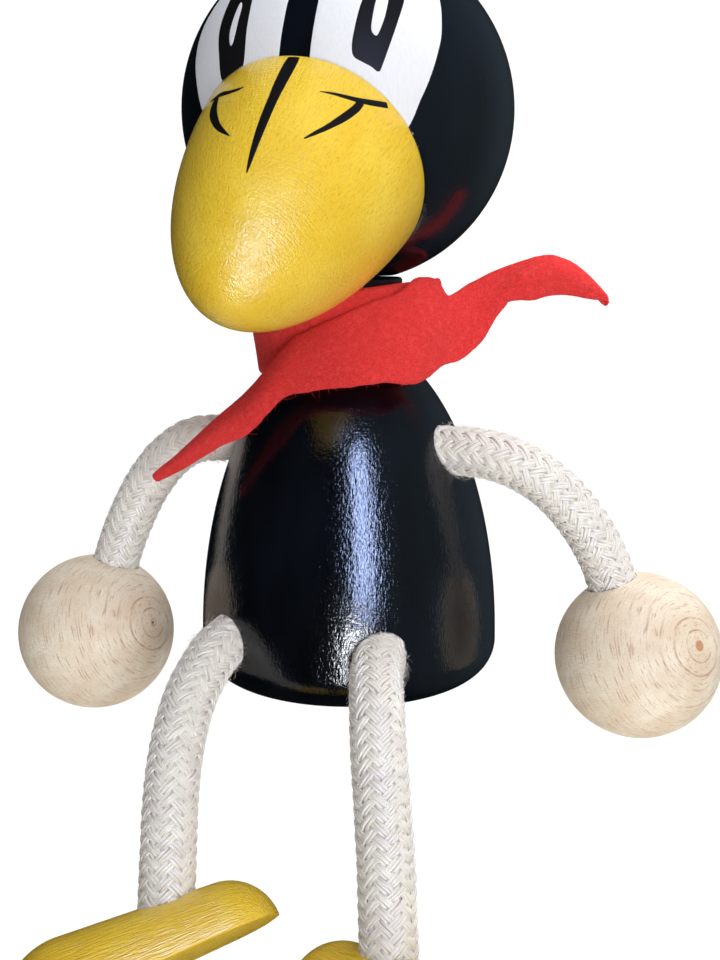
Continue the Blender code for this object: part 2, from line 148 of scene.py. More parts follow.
LEG_ROUTES = {
    "left": [(0.0176, -0.0338, -0.0990), (0.0193, -0.0380, -0.1040),
             (0.0209, -0.0412, -0.1094), (0.0224, -0.0442, -0.1150),
             (0.0238, -0.0470, -0.1206), (0.0249, -0.0496, -0.1256)],
    "right": [(-0.0162, -0.0344, -0.0998), (-0.0160, -0.0392, -0.1042),
              (-0.0153, -0.0434, -0.1090), (-0.0143, -0.0470, -0.1142),
              (-0.0132, -0.0500, -0.1194)],
}
FOOT_PLACES = {
    "left": (0.0262, -0.0526, -0.1312),
    "right": (-0.0114, -0.0546, -0.1284),
}
FOOT_TURNS = {
    "left": (math.radians(26), math.radians(-6), math.radians(62)),
    "right": (math.radians(-38), math.radians(18), math.radians(-54)),
}

# ---- outlines drawn, in millimetres -----------------------------------------------------

# The scarf strip's two edges from the crow's right tip to its left tip, from the head
# centre. The points pair up: each pair is one cut across the strip.
SCARF_UPPER = [
    (-30.6, -19.8, -65.6), (-30.0, -19.8, -64.6), (-24.0, -20.6, -59.9), (-17.7, -20.9, -54.3),
    (-11.2, -19.9, -48.4), (-4.1, -18.3, -40.2), (-1.4, -17.9, -38.4), (5.6, -16.8, -34.9),
    (10.3, -14.4, -32.7), (13.6, -11.9, -31.5), (15.9, -9.2, -29.0), (18.6, -6.1, -29.2),
    (20.0, -4.5, -31.9), (21.6, -2.5, -31.4), (23.6, -0.2, -29.8), (29.5, 2.2, -27.0),
    (35.5, 4.7, -25.3), (38.0, 5.9, -25.6), (41.3, 7.4, -27.6), (46.0, 8.2, -32.2),
    (46.8, 8.2, -33.6)]
SCARF_LOWER = [
    (-30.5, -20.0, -65.7), (-29.0, -20.1, -65.5), (-22.9, -20.9, -62.4), (-16.3, -21.9, -58.7),
    (-10.4, -21.8, -56.1), (-7.5, -21.3, -52.8), (-4.0, -20.6, -49.4), (1.8, -19.9, -48.2),
    (8.2, -18.7, -47.4), (12.8, -16.4, -46.8), (15.8, -13.8, -47.3), (17.7, -11.1, -47.0),
    (20.5, -7.0, -44.4), (22.6, -4.6, -43.7), (26.0, -1.2, -40.4), (28.6, -0.1, -35.6),
    (30.2, 0.5, -33.3), (34.7, 2.3, -32.8), (37.8, 3.7, -31.9), (43.3, 6.6, -32.5),
    (46.8, 8.0, -33.7)]
# How far each cut's middle stands out of the straight line between its ends.
SCARF_BULGE = [0, 0.3, 1.2, 1.6, 1.2, 0.6, 0.4, 0.3, 0.5, 0.8, 1.3, 1.2, 0.4, 0.4, 0.6, 0.9,
               1.6, 2.2, 2.0, 0.8, 0]

# Face paint, across and up from the head centre, as seen from straight ahead.
EYE_WHITES = {
    "left": [(4.5, 22.0), (7.5, 25.2), (12.0, 25.0), (17.5, 21.4), (21.0, 16.4), (22.4, 11.0),
             (22.4, 7.0), (21.7, 3.0), (20.6, -0.4), (18.6, -5.2), (14.0, -10.5), (4.5, -12.0),
             (4.4, -4.0), (4.4, 5.0), (4.6, 14.0)],
    "right": [(-0.6, 22.0), (-3.6, 25.4), (-8.2, 25.2), (-13.9, 21.6), (-18.0, 16.4),
              (-19.6, 12.6), (-19.7, 7.9), (-18.5, 3.2), (-16.8, -1.4), (-14.0, -6.0),
              (-10.0, -9.8), (-0.8, -12.0), (-0.8, -4.0), (-0.8, 5.0), (-0.6, 14.0)],
}
PUPILS = {
    "left": [(11.2, 15.5), (10.7, 10.0), (10.6, 7.3), (11.0, 5.6), (12.4, 4.7), (13.7, 4.0),
             (14.7, 3.2), (15.2, 3.9), (16.2, 8.0), (16.8, 11.7), (17.0, 15.5), (16.2, 19.6),
             (14.4, 21.6), (12.4, 20.0)],
    "right": [(-13.1, 16.9), (-13.8, 11.7), (-12.9, 6.9), (-11.8, 2.9), (-9.9, 3.2),
              (-7.6, 4.4), (-7.1, 6.2), (-7.3, 10.9), (-7.5, 16.0), (-8.3, 20.0),
              (-10.3, 21.9), (-12.2, 20.4)],
}
GLINTS = {
    "left": [(13.2, 15.6), (13.1, 12.0), (13.2, 10.0), (13.7, 9.1), (14.2, 9.0), (14.6, 10.4),
             (14.9, 12.6), (14.8, 15.6), (14.0, 17.4)],
    "right": [(-10.3, 15.3), (-11.0, 11.3), (-10.7, 9.0), (-10.1, 8.4), (-9.7, 10.2),
              (-9.5, 13.0), (-9.4, 14.9), (-9.8, 16.0)],
}
# Brush strokes on the bill: distance from the head centre along the bill's axis,
# degrees round from its top (+ towards the crow's left), and the stroke's half width.
BILL_STROKES = {
    "bill_ridge_stroke": [(22.7, 5.6, 1.00), (25.0, 5.8, 1.12), (29.0, 6.1, 1.05),
                          (34.0, 6.6, 0.84), (39.5, 7.3, 0.74), (44.0, 8.2, 0.52),
                          (47.0, 9.1, 0.30), (48.6, 9.7, 0.08)],
    "left_nostril_bar": [(29.8, 25.4, 0.05), (29.1, 30.1, 0.26), (28.2, 36.5, 0.42),
                         (27.1, 42.5, 0.52), (25.4, 48.4, 0.58), (23.3, 54.2, 0.56)],
    "left_nostril_hook": [(27.2, 43.8, 0.60), (29.4, 43.3, 0.66), (32.5, 41.0, 0.64),
                          (35.6, 37.6, 0.46), (37.9, 34.1, 0.34), (39.9, 30.6, 0.12)],
    "right_nostril_bar": [(29.9, -12.6, 0.06), (30.1, -15.9, 0.38), (29.6, -22.5, 0.52),
                           (28.4, -29.5, 0.60), (27.9, -36.5, 0.22)],
    "right_nostril_hook": [(28.2, -31.6, 0.66), (31.4, -30.0, 0.84), (34.2, -27.3, 0.80),
                            (37.6, -21.7, 0.60), (39.8, -16.0, 0.42), (41.6, -9.4, 0.10)],
}


def linear(hex_value):
    """An sRGB hex colour as linear red, green and blue."""
    channels = [int(hex_value[place:place + 2], 16) / 255 for place in (1, 3, 5)]
    return tuple(c / 12.92 if c <= 0.04045 else ((c + 0.055) / 1.055) ** 2.4 for c in channels)


# ---- settings a user would change -------------------------------------------------------

class CrowColours(bpy.types.PropertyGroup):
    """Colours of the puppet's finishes."""
    black: FloatVectorProperty(
        name="Black lacquer", description="Sprayed lacquer of head and body",
        default=linear("#04060A"), subtype="COLOR", min=0, max=1)
    yellow: FloatVectorProperty(
        name="Yellow lacquer", description="Lacquer of bill and feet",
        default=linear("#EEC42C"), subtype="COLOR", min=0, max=1)
    white: FloatVectorProperty(
        name="White paint", description="Whites of the eyes",
        default=linear("#E9EAF1"), subtype="COLOR", min=0, max=1)
    ink: FloatVectorProperty(
        name="Black paint", description="Pupils and brush strokes",
        default=linear("#100E0E"), subtype="COLOR", min=0, max=1)
    beech: FloatVectorProperty(
        name="Bare beech", description="Hands, dowel and peg",
        default=linear("#EBD8C0"), subtype="COLOR", min=0, max=1)
    rope: FloatVectorProperty(
        name="Rope", description="Braided yarn",
        default=linear("#F5F1EB"), subtype="COLOR", min=0, max=1)
    felt: FloatVectorProperty(
        name="Felt", description="Scarf",
        default=linear("#FF3F3E"), subtype="COLOR", min=0, max=1)
    steel: FloatVectorProperty(
        name="Steel", description="Screw eye",
        default=linear("#C9CBCE"), subtype="COLOR", min=0, max=1)
    backdrop: FloatVectorProperty(
        name="Backdrop", description="Paper sweep behind the puppet",
        default=linear("#FBFBFB"), subtype="COLOR", min=0, max=1)


class CrowSizes(bpy.types.PropertyGroup):
    """Sizes that belong to the finish and not to the frame."""
    paint_film: FloatProperty(
        name="Paint film", description="How far brushed paint stands on the lacquer",
        default=0.00007, unit="LENGTH", min=0.00002, max=0.0003, precision=5)
    arm_rope_radius: FloatProperty(
        name="Arm rope radius", description="Over the outer yarns",
        default=0.0044, unit="LENGTH", min=0.002, max=0.008, precision=4)
    leg_rope_radius: FloatProperty(
        name="Leg rope radius", description="Over the outer yarns",
        default=0.0046, unit="LENGTH", min=0.002, max=0.008, precision=4)
    braid_lay: FloatProperty(
        name="Braid lay", description="Rope length in which one yarn goes round once",
        default=0.0256, unit="LENGTH", min=0.01, max=0.06, precision=4)
    yarn_radius: FloatProperty(
        name="Yarn radius", description="Half of one yarn's width",
        default=0.00034, unit="LENGTH", min=0.0002, max=0.001, precision=5)
    yarns_each: IntProperty(
        name="Yarns together", description="Yarns that run side by side in the braid",
        default=3, min=1, max=4)
    felt_hairs: IntProperty(
        name="Felt hairs", description="Loose hairs on the scarf",
        default=1500, min=0, max=6000)
    wire_radius: FloatProperty(
        name="Wire radius", description="Wire of the screw eye",
        default=0.0007, unit="LENGTH", min=0.0004, max=0.0012, precision=5)


# ---- mesh helpers -----------------------------------------------------------------------

SHARP_EDGE = math.radians(50)   # faces that meet at more than this keep a sharp edge
WELD = 1e-7                     # points nearer than this become one
SLIVER = 1e-8


def unit(vectors, floor=0.0):
    """Each row brought to length one. A floor keeps rows of no length from failing."""
    return vectors / (np.linalg.norm(vectors, axis=1, keepdims=True) + floor)


def distances(points):
    """How far along a line each of its points lies."""
    runs = np.linalg.norm(np.diff(points, axis=0), axis=1)
    return np.concatenate([[0], np.cumsum(runs)])


def facing(axis):
    """The turn that puts an object's own Z on an axis."""
    return Vector(axis).to_track_quat("Z", "Y").to_matrix().to_4x4()


def from_head(point):
    """A place that is given from the centre of the head."""
    return HEAD_CENTRE + Vector(point)


def mesh_object(name, mesh, finish):
    """New object for a mesh, smooth with sharp edges kept, in one finish."""
    obj = bpy.data.objects.new(name, mesh)
    bpy.context.scene.collection.objects.link(obj)
    mesh.materials.append(finish)
    mesh.shade_smooth()
    mesh.set_sharp_from_angle(angle=SHARP_EDGE)
    return obj


def from_bmesh(name, shape, finish):
    """Object from a bmesh whose faces are turned outwards, which is freed."""
    bmesh.ops.recalc_face_normals(shape, faces=shape.faces)
    mesh = bpy.data.meshes.new(name)
    shape.to_mesh(mesh)
    shape.free()
    return mesh_object(name, mesh, finish)


def from_arrays(name, points, faces, finish):
    """Object from an array of points and lists of faces."""
    mesh = bpy.data.meshes.new(name)
    mesh.from_pydata(np.asarray(points).tolist(), [], faces)
    mesh.validate()
    return mesh_object(name, mesh, finish)


def spun(profile, steps):
    """Closed bmesh turned about Z from (radius, height) points, top to bottom."""
    shape = bmesh.new()
    points = [shape.verts.new((radius, 0, height)) for radius, height in profile]
    lines = [shape.edges.new(pair) for pair in zip(points, points[1:])]
    bmesh.ops.spin(shape, geom=points + lines, cent=(0, 0, 0), axis=(0, 0, 1),
                   angle=2 * math.pi, steps=steps, use_merge=True)
    bmesh.ops.remove_doubles(shape, verts=shape.verts, dist=WELD)
    bmesh.ops.dissolve_degenerate(shape, edges=shape.edges, dist=SLIVER)
    return shape


def sliced(shape, place, out, dist):
    """Cut off what lies beyond a plane, close the cut and return its edges."""
    cut = bmesh.ops.bisect_plane(
        shape, geom=shape.verts[:] + shape.edges[:] + shape.faces[:],
        plane_co=place, plane_no=out, clear_outer=True, dist=dist)
    rim = [item for item in cut["geom_cut"] if isinstance(item, bmesh.types.BMEdge)]
    if rim:
        bmesh.ops.holes_fill(shape, edges=rim, sides=0)
    return rim


def evaluated(obj):
    """Give an object the mesh that its modifiers make, and drop them."""
    bpy.context.view_layer.update()
    shown = obj.evaluated_get(bpy.context.evaluated_depsgraph_get())
    made = bpy.data.meshes.new_from_object(shown)
    obj.modifiers.clear()
    obj.data = made
    return obj


def bore(obj, mouth, out, radius, depth, lead=0.006):
    """Cut a round blind hole with its mouth's centre and outward direction given."""
    bottom = Vector(mouth) - Vector(out) * depth
    shape = bmesh.new()
    bmesh.ops.create_cone(shape, cap_ends=True, segments=64, radius1=radius, radius2=radius,
                          depth=depth + lead)
    middle = bottom + Vector(out) * (depth + lead) / 2
    bmesh.ops.transform(shape, matrix=Matrix.Translation(middle) @ facing(out),
                        verts=shape.verts)
    mesh = bpy.data.meshes.new("drill")
    shape.to_mesh(mesh)
    shape.free()
    tool = bpy.data.objects.new("drill", mesh)
    bpy.context.scene.collection.objects.link(tool)
    cut = obj.modifiers.new("bore", "BOOLEAN")
    cut.operation = "DIFFERENCE"
    cut.solver = "EXACT"
    cut.object = tool
    evaluated(obj)
    bpy.data.objects.remove(tool, do_unlink=True)
    bpy.data.meshes.remove(mesh)
    obj.data.set_sharp_from_angle(angle=SHARP_EDGE)


def catmull(points, steps):
    """Points on a smooth curve through the given ones, steps to a span."""
    points = np.array([tuple(point) for point in points], float)
    ends = np.vstack([2 * points[0] - points[1], points, 2 * points[-1] - points[-2]])
    fine = []
    for before, start, end, after in zip(ends, ends[1:], ends[2:], ends[3:]):
        for step in range(steps):
            t = step / steps
            fine.append(0.5 * (2 * start + (end - before) * t
                               + (2 * before - 5 * start + 4 * end - after) * t ** 2
                               + (3 * start - before - 3 * end + after) * t ** 3))
    fine.append(points[-1])
    return np.array(fine)


def closed_catmull(points, steps):
    """Points on a smooth closed curve through the given ones."""
    ring = list(points[-2:]) + list(points) + list(points[:3])
    return catmull(ring, steps)[2 * steps:(2 + len(points)) * steps]


def even_path(points, spacing):
    """The same line with evenly spaced points."""
    along = distances(points)
    wanted = np.linspace(0, along[-1], max(8, round(along[-1] / spacing)) + 1)
    return np.column_stack([np.interp(wanted, along, points[:, axis]) for axis in range(3)])


def hair_mesh(roots, middles, tips, thickness):
    """Points and faces of three-sided tapered hairs, each a closed curve from root to tip."""
    count, rings, taper = len(roots), 4, 0.6
    chord = unit(tips - roots, 1e-12)
    helper = np.where(np.abs(chord[:, 2:3]) < 0.9, [[0.0, 0.0, 1.0]], [[1.0, 0.0, 0.0]])
    side = unit(np.cross(chord, helper))
    other = np.cross(chord, side)
    points = np.zeros((count, rings * 3 + 1, 3))
    for ring in range(rings):
        t = ring / rings
        centre = (1 - t) ** 2 * roots + 2 * t * (1 - t) * middles + t ** 2 * tips
        for corner in range(3):
            angle = 2 * math.pi * corner / 3
            points[:, ring * 3 + corner] = centre + thickness[:, None] * (1 - taper * t) * (
                math.cos(angle) * side + math.sin(angle) * other)
    points[:, -1] = tips
    faces = []
    for hair in range(count):
        first = hair * (rings * 3 + 1)
        faces.append((first + 2, first + 1, first))
        for ring in range(rings - 1):
            low = first + ring * 3
            for corner in range(3):
                nxt = (corner + 1) % 3
                faces.append((low + corner, low + nxt, low + 3 + nxt, low + 3 + corner))
        low, tip = first + (rings - 1) * 3, first + rings * 3
        faces += [(low, low + 1, tip), (low + 1, low + 2, tip), (low + 2, low, tip)]
    return points.reshape(-1, 3), faces


# ---- finishes ---------------------------------------------------------------------------

def feed(tree, socket, value):
    """Link a socket from another, or set its value. A colour is given without its alpha."""
    if isinstance(value, bpy.types.NodeSocket):
        tree.links.new(value, socket)
    else:
        socket.default_value = (*value, 1) if socket.type == "RGBA" else value


def add(tree, kind, inputs=None, **settings):
    """Add a shader node with its settings. Inputs are values, or sockets that feed it."""
    made = tree.nodes.new(kind)
    for name, value in settings.items():
        setattr(made, name, value)
    for socket, value in (inputs or {}).items():
        feed(tree, made.inputs[socket], value)
    return made


def new_finish(name, sockets):
    """A material of one Principled shader with these socket values."""
    made = bpy.data.materials.new(name)
    made.use_nodes = True
    shader = made.node_tree.nodes["Principled BSDF"]
    for socket, value in sockets.items():
        feed(made.node_tree, shader.inputs[socket], value)
    return made, made.node_tree, shader


def stretched_noise(tree, across, along, detail=3.0, roughness=0.55, distortion=0.0):
    """Noise drawn out along the object's own Z: its features are across by along metres."""
    place = add(tree, "ShaderNodeTexCoord").outputs["Object"]
    scaled = add(tree, "ShaderNodeMapping", {
        "Vector": place, "Scale": (1 / across, 1 / across, 1 / along)})
    noise = add(tree, "ShaderNodeTexNoise", {
        "Vector": scaled.outputs["Vector"], "Scale": 1.0, "Detail": detail,
        "Roughness": roughness, "Distortion": distortion})
    return noise.outputs["Fac"]


def tinted(tree, base, layers):
    """A base colour with others laid over it. In each layer, while the pattern goes from low
    to high, the colour goes from a weak share to a strong one."""
    for pattern, low, high, weak, strong, colour in layers:
        share = add(tree, "ShaderNodeMapRange", {
            "Value": pattern, "From Min": low, "From Max": high,
            "To Min": weak, "To Max": strong}).outputs["Result"]
        base = add(tree, "ShaderNodeMix", {
            "Factor": share, 6: base, 7: colour}, data_type="RGBA").outputs[2]
    return base


def dress(tree, shader, tone, gloss=None, relief=()):
    """Link a shader's colour, its roughness, which goes from smooth to rough with a pattern,
    and its normal, from bump layers of a height and a depth in metres."""
    feed(tree, shader.inputs["Base Color"], tone)
    if gloss:
        pattern, smooth, rough = gloss
        feed(tree, shader.inputs["Roughness"], add(tree, "ShaderNodeMapRange", {
            "Value": pattern, "From Min": 0.3, "From Max": 0.7,
            "To Min": smooth, "To Max": rough}).outputs["Result"])
    normal = None
    for height, depth in relief:
        inputs = {"Height": height, "Distance": depth, "Strength": 1.0}
        if normal:
            inputs["Normal"] = normal
        normal = add(tree, "ShaderNodeBump", inputs).outputs["Normal"]
    if normal:
        feed(tree, shader.inputs["Normal"], normal)
        feed(tree, shader.inputs["Coat Normal"], normal)


def darker(colour, share):
    """A colour brought down to this share of its light."""
    return tuple(channel * share for channel in colour)


def black_lacquer(colour):
    """Gloss nitro lacquer sprayed on turned beech: deep black, cool in the light, with the
    wood's pores and a slight orange peel still breaking up its reflections."""
    made, tree, shader = new_finish("sprayed_black_lacquer", {
        "IOR": 1.5, "Specular IOR Level": 0.5, "Coat Weight": 0.4, "Coat Roughness": 0.07})
    grain = stretched_noise(tree, 0.36 * MM, 0.85 * MM, detail=2.5, distortion=0.5)
    peel = stretched_noise(tree, 1.3 * MM, 2.6 * MM, detail=2.0)
    turned = stretched_noise(tree, 1.8 * MM, 0.32 * MM, detail=2.0)
    bands = stretched_noise(tree, 9 * MM, 30 * MM, detail=2.0)
    tone = tinted(tree, colour, [(bands, 0.35, 0.65, 0.0, 1.0, linear("#0B0F17"))])
    dress(tree, shader, tone, gloss=(grain, 0.10, 0.17), relief=[
        (grain, 0.05 * MM), (peel, 0.06 * MM), (turned, 0.02 * MM)])
    return made


def yellow_lacquer(name, colour, relief, ripple):
    """Satin lacquer over beech: warm yellow, browner in the long pores. Relief is the height
    of the grain's ridges along the piece, ripple that of the turning marks round it."""
    made, tree, shader = new_finish(name, {
        "IOR": 1.5, "Specular IOR Level": 0.4, "Coat Weight": 0.8, "Coat Roughness": 0.06})
    grain = stretched_noise(tree, 0.40 * MM, 3.5 * MM, detail=3.0, distortion=0.5)
    turned = stretched_noise(tree, 1.6 * MM, 0.30 * MM, detail=2.0)
    pores = stretched_noise(tree, 0.24 * MM, 16.0 * MM, detail=0.0)
    clouds = stretched_noise(tree, 8 * MM, 14 * MM, detail=2.0)
    tone = tinted(tree, colour, [
        (clouds, 0.35, 0.65, 0.0, 1.0, linear("#F6D243")),
        (grain, 0.50, 0.74, 0.0, 0.24, linear("#CF9413")),
        (pores, 0.68, 0.76, 0.0, 0.22, linear("#A06E10"))])
    dress(tree, shader, tone, gloss=(grain, 0.26, 0.40), relief=[
        (grain, relief), (turned, ripple), (pores, -0.09 * MM)])
    return made


def brushed_paint(name, colour, roughness):
    """Craft acrylic laid on with a small brush: matt, with fine streaks along the strokes."""
    made, tree, shader = new_finish(name, {
        "IOR": 1.47, "Specular IOR Level": 0.25, "Roughness": roughness})
    streaks = stretched_noise(tree, 0.25 * MM, 3 * MM, detail=3.0)
    tone = tinted(tree, colour, [(streaks, 0.35, 0.75, 0.0, 1.0, darker(colour, 0.93))])
    dress(tree, shader, tone, relief=[(streaks, 0.02 * MM)])
    return made


def bare_beech(name, colour, eye, core):
    """Beech turned, sanded and left bare: pale tan with short brown flecks that follow the
    year rings, faint fibres along the grain, and a dark eye of this radius and colour where
    the rings close round the grain's axis, which is the object's own Z."""
    made, tree, shader = new_finish(name, {"IOR": 1.45, "Roughness": 0.6})
    year, wobble_run, wobble_reach = 2.3 * MM, 12 * MM, 2 * MM
    fleck_width, flecks_round = 0.26 * MM, 3.2
    place = add(tree, "ShaderNodeTexCoord").outputs["Object"]
    wobble = add(tree, "ShaderNodeTexNoise", {
        "Vector": place, "Scale": 1 / wobble_run, "Detail": 2.0})
    moved = add(tree, "ShaderNodeVectorMath", {
        0: wobble.outputs["Color"], 1: (0.5, 0.5, 0.5)}, operation="SUBTRACT")
    bent = add(tree, "ShaderNodeVectorMath", {
        0: moved.outputs[0], 1: (wobble_reach, wobble_reach, wobble_reach), 2: place},
        operation="MULTIPLY_ADD")
    # The distance from the grain's axis, as the wood grew and on the ball as it was turned.
    distance, off_axis = (
        add(tree, "ShaderNodeVectorMath", {
            0: add(tree, "ShaderNodeVectorMath", {0: point, 1: (1, 1, 0)},
                   operation="MULTIPLY").outputs[0]}, operation="LENGTH").outputs["Value"]
        for point in (bent.outputs[0], place))
    axes = add(tree, "ShaderNodeSeparateXYZ", {0: bent.outputs[0]})
    turn, latitude = (
        add(tree, "ShaderNodeMath", {0: first, 1: second}, operation="ARCTAN2").outputs[0]
        for first, second in ((axes.outputs["Y"], axes.outputs["X"]),
                              (distance, axes.outputs["Z"])))
    # Each year has a thin darker line, which comes and goes, and fades away from the eye.
    phase = add(tree, "ShaderNodeMath", {
        0: distance, 1: 2 * math.pi / year}, operation="MULTIPLY")
    rings = add(tree, "ShaderNodeMath", {0: phase.outputs[0]}, operation="SINE")
    broken = stretched_noise(tree, 4 * MM, 4 * MM, detail=2.0)
    lines = 1.0
    for pattern, low, high, at_low, at_high in (
            (rings.outputs[0], 0.80, 1.0, 0.0, 1.0),
            (broken, 0.42, 0.62, 0.0, 1.0),
            (distance, 10.5 * MM, 13.0 * MM, 1.0, 0.0),
            (distance, 3 * MM, 8 * MM, 0.95, 0.45)):
        share = add(tree, "ShaderNodeMapRange", {
            "Value": pattern, "From Min": low, "From Max": high,
            "To Min": at_low, "To Max": at_high})
        lines = add(tree, "ShaderNodeMath", {
            0: share.outputs["Result"], 1: lines}, operation="MULTIPLY").outputs[0]
    # Flecks run round with the rings: fine across them, long along them. From the eye on they
    # are counted by the way over the ball, so that they stay as fine on its far side.
    over, round_it = (
        add(tree, "ShaderNodeMath", {0: angle, 1: count}, operation="MULTIPLY").outputs[0]
        for angle, count in ((latitude, HAND_RADIUS / fleck_width), (turn, flecks_round)))
    flecks = add(tree, "ShaderNodeTexNoise", {
        "Vector": add(tree, "ShaderNodeCombineXYZ", {0: over, 1: round_it}).outputs[0],
        "Scale": 1.0, "Detail": 2.0}).outputs["Fac"]
    fibres = stretched_noise(tree, 0.16 * MM, 1.4 * MM, detail=2.0)
    clouds = stretched_noise(tree, 6 * MM, 12 * MM, detail=2.0)
    tone = tinted(tree, colour, [
        (clouds, 0.35, 0.65, 0.0, 1.0, linear("#F8EEDC")),
        (lines, 0.0, 1.0, 0.0, 1.0, linear("#B98059")),
        (fibres, 0.42, 0.68, 0.0, 0.34, linear("#C8A27C")),
        (flecks, 0.58, 0.67, 0.0, 0.55, linear("#AE7650")),
        (off_axis, 0.8 * eye, 1.1 * eye, 0.85, 0.0, core)])
    dress(tree, shader, tone, relief=[(fibres, 0.10 * MM), (flecks, -0.08 * MM)])
    return made


def white_yarn(colour):
    """Bright spun polyester yarn, braided: white with a soft gloss on each yarn's crown and its
    filaments twisted. Painted shade greys it in the hollows between the filaments, and soft
    lilac-grey patches of painted shade lie over it at random."""
    made, tree, shader = new_finish("braided_polyester_yarn", {
        "IOR": 1.5, "Specular IOR Level": 0.5})
    uv = add(tree, "ShaderNodeUVMap", uv_map="yarn")
    # Filaments run nearly along the yarn; they are drawn coarser than they are, to show.
    fine = add(tree, "ShaderNodeMapping", {
        "Vector": uv.outputs["UV"], "Scale": (0.35, 5.0, 1.0), "Rotation": (0, 0, 0.25)})
    twist = add(tree, "ShaderNodeTexNoise", {
        "Vector": fine.outputs["Vector"], "Scale": 1.0, "Detail": 3.0}).outputs["Fac"]
    soft = stretched_noise(tree, 4 * MM, 4 * MM, detail=2.0)
    # Painted shade: grey where the filaments' relief is low, and soft lilac-grey patches.
    tone = tinted(tree, colour, [
        (twist, 0.30, 0.60, 0.55, 0.0, linear("#CFCAC6")),
        (soft, 0.45, 0.70, 0.0, 0.40, linear("#DFD2D6"))])
    dress(tree, shader, tone, gloss=(twist, 0.26, 0.40), relief=[(twist, 0.10 * MM)])
    return made


def red_felt(colour):
    """Pressed wool felt: matt, mottled where fibres lie different ways, and fuzzy."""
    made, tree, shader = new_finish("pressed_red_felt", {
        "IOR": 1.4, "Roughness": 0.95, "Sheen Weight": 0.15, "Sheen Roughness": 0.6,
        "Sheen Tint": linear("#FF7A72"), "Specular IOR Level": 0.25})
    mottle = stretched_noise(tree, 0.26 * MM, 0.26 * MM, detail=4.0, roughness=0.7)
    tufts = stretched_noise(tree, 1.1 * MM, 1.1 * MM, detail=4.0, roughness=0.65)
    patches = stretched_noise(tree, 9 * MM, 9 * MM, detail=2.0)
    tone = tinted(tree, darker(colour, 0.60), [
        (mottle, 0.34, 0.66, 0.0, 1.0, colour),
        (tufts, 0.5, 0.75, 0.0, 0.45, linear("#FF5F58")),
        (patches, 0.4, 0.7, 0.0, 0.25, darker(colour, 0.72))])
    dress(tree, shader, tone, relief=[(mottle, 0.22 * MM), (tufts, 0.25 * MM)])
    return made


def steel_wire(colour):
    """Zinc-plated steel wire, drawn: bright with fine lines along it."""
    made, tree, shader = new_finish("zinc_plated_wire", {"Metallic": 1.0})
    lines = stretched_noise(tree, 0.15 * MM, 0.5 * MM, detail=2.0)
    tone = tinted(tree, colour, [(lines, 0.3, 0.7, 0.0, 1.0, darker(colour, 0.8))])
    dress(tree, shader, tone, gloss=(lines, 0.22, 0.34), relief=[(lines, 0.01 * MM)])
    return made


def backdrop_paper(colour):
    """Matt background paper, near white with a barely uneven tone. It glows faintly, as
    paper does that is lit from all round, and so fills the puppet's shaded sides."""
    made, tree, shader = new_finish("backdrop_paper", {
        "Roughness": 0.9, "Specular IOR Level": 0.1, "Emission Color": (1, 1, 1),
        "Emission Strength": 0.10})
    uneven = stretched_noise(tree, 60 * MM, 60 * MM, detail=2.0)
    tone = tinted(tree, colour, [(uneven, 0.3, 0.7, 0.0, 1.0, darker(colour, 0.985))])
    dress(tree, shader, tone)
    return made


# Each finish: the colour setting it takes, and the function that makes it in that colour.
FINISHES = {
    "black": ("black", black_lacquer),
    "bill_yellow": ("yellow", lambda colour: yellow_lacquer(
        "yellow_lacquer_on_bill", colour, 0.12 * MM, 0.15 * MM)),
    "foot_yellow": ("yellow", lambda colour: yellow_lacquer(
        "yellow_lacquer_on_feet", colour, 0.30 * MM, 0.03 * MM)),
    "left_beech": ("beech", lambda colour: bare_beech(
        "sanded_beech_with_pith", colour, 1.0 * MM, linear("#C98C5A"))),
    "right_beech": ("beech", lambda colour: bare_beech(
        "sanded_beech_with_pin_knot", colour, 0.28 * MM, linear("#1C1410"))),
    "rope": ("rope", white_yarn),
    "felt": ("felt", red_felt),
    "steel": ("steel", steel_wire),
    "backdrop": ("backdrop", backdrop_paper),
    "white": ("white", lambda colour: brushed_paint("white_acrylic_paint", colour, 0.5)),
    "ink": ("ink", lambda colour: brushed_paint("black_acrylic_paint", colour, 0.6)),
}
MADE = {}


def finish(context, name):
    """The named finish in the scene's colour, made once."""
    if name not in MADE:
        setting, make = FINISHES[name]
        MADE[name] = make(tuple(getattr(context.scene.crow_colours, setting))).name
    return bpy.data.materials[MADE[name]]


# ---- surfaces that paint lies on --------------------------------------------------------

def on_head(across, up, lift):
    """Point over the head's surface, across and up as seen from straight ahead."""
    forward = math.sqrt(max(0.0, HEAD_RADIUS ** 2 - across ** 2 - up ** 2))
    return HEAD_CENTRE + Vector((across, -forward, up)) * ((HEAD_RADIUS + lift) / HEAD_RADIUS)


def bill_radius(distance):
    """The bill's radius at a distance from the head centre along its axis."""
    share = max(0.0, distance - BILL_WIDEST) / (BILL_REACH - BILL_WIDEST)
    return BILL_RADIUS * math.sqrt(max(0.0, 1 - share ** BILL_FULLNESS))


def bill_seat():
    """Distance of the flat on the head, where the ball is as wide as the bill."""
    seat = math.sqrt(HEAD_RADIUS ** 2 - BILL_RADIUS ** 2)
    for _ in range(20):
        seat = math.sqrt(HEAD_RADIUS ** 2 - bill_radius(seat) ** 2)
    return seat


BILL_TOP = Vector((0, -math.sin(BILL_DROOP), math.cos(BILL_DROOP)))
BILL_SIDE = Vector((1, 0, 0))


def on_bill(distance, angle, lift):
    """Point over the bill's surface at a distance along its axis, angle from its top."""
    radius = bill_radius(distance) + lift
    round_it = math.cos(angle) * BILL_TOP + math.sin(angle) * BILL_SIDE
    return HEAD_CENTRE + BILL_AXIS * distance + round_it * radius


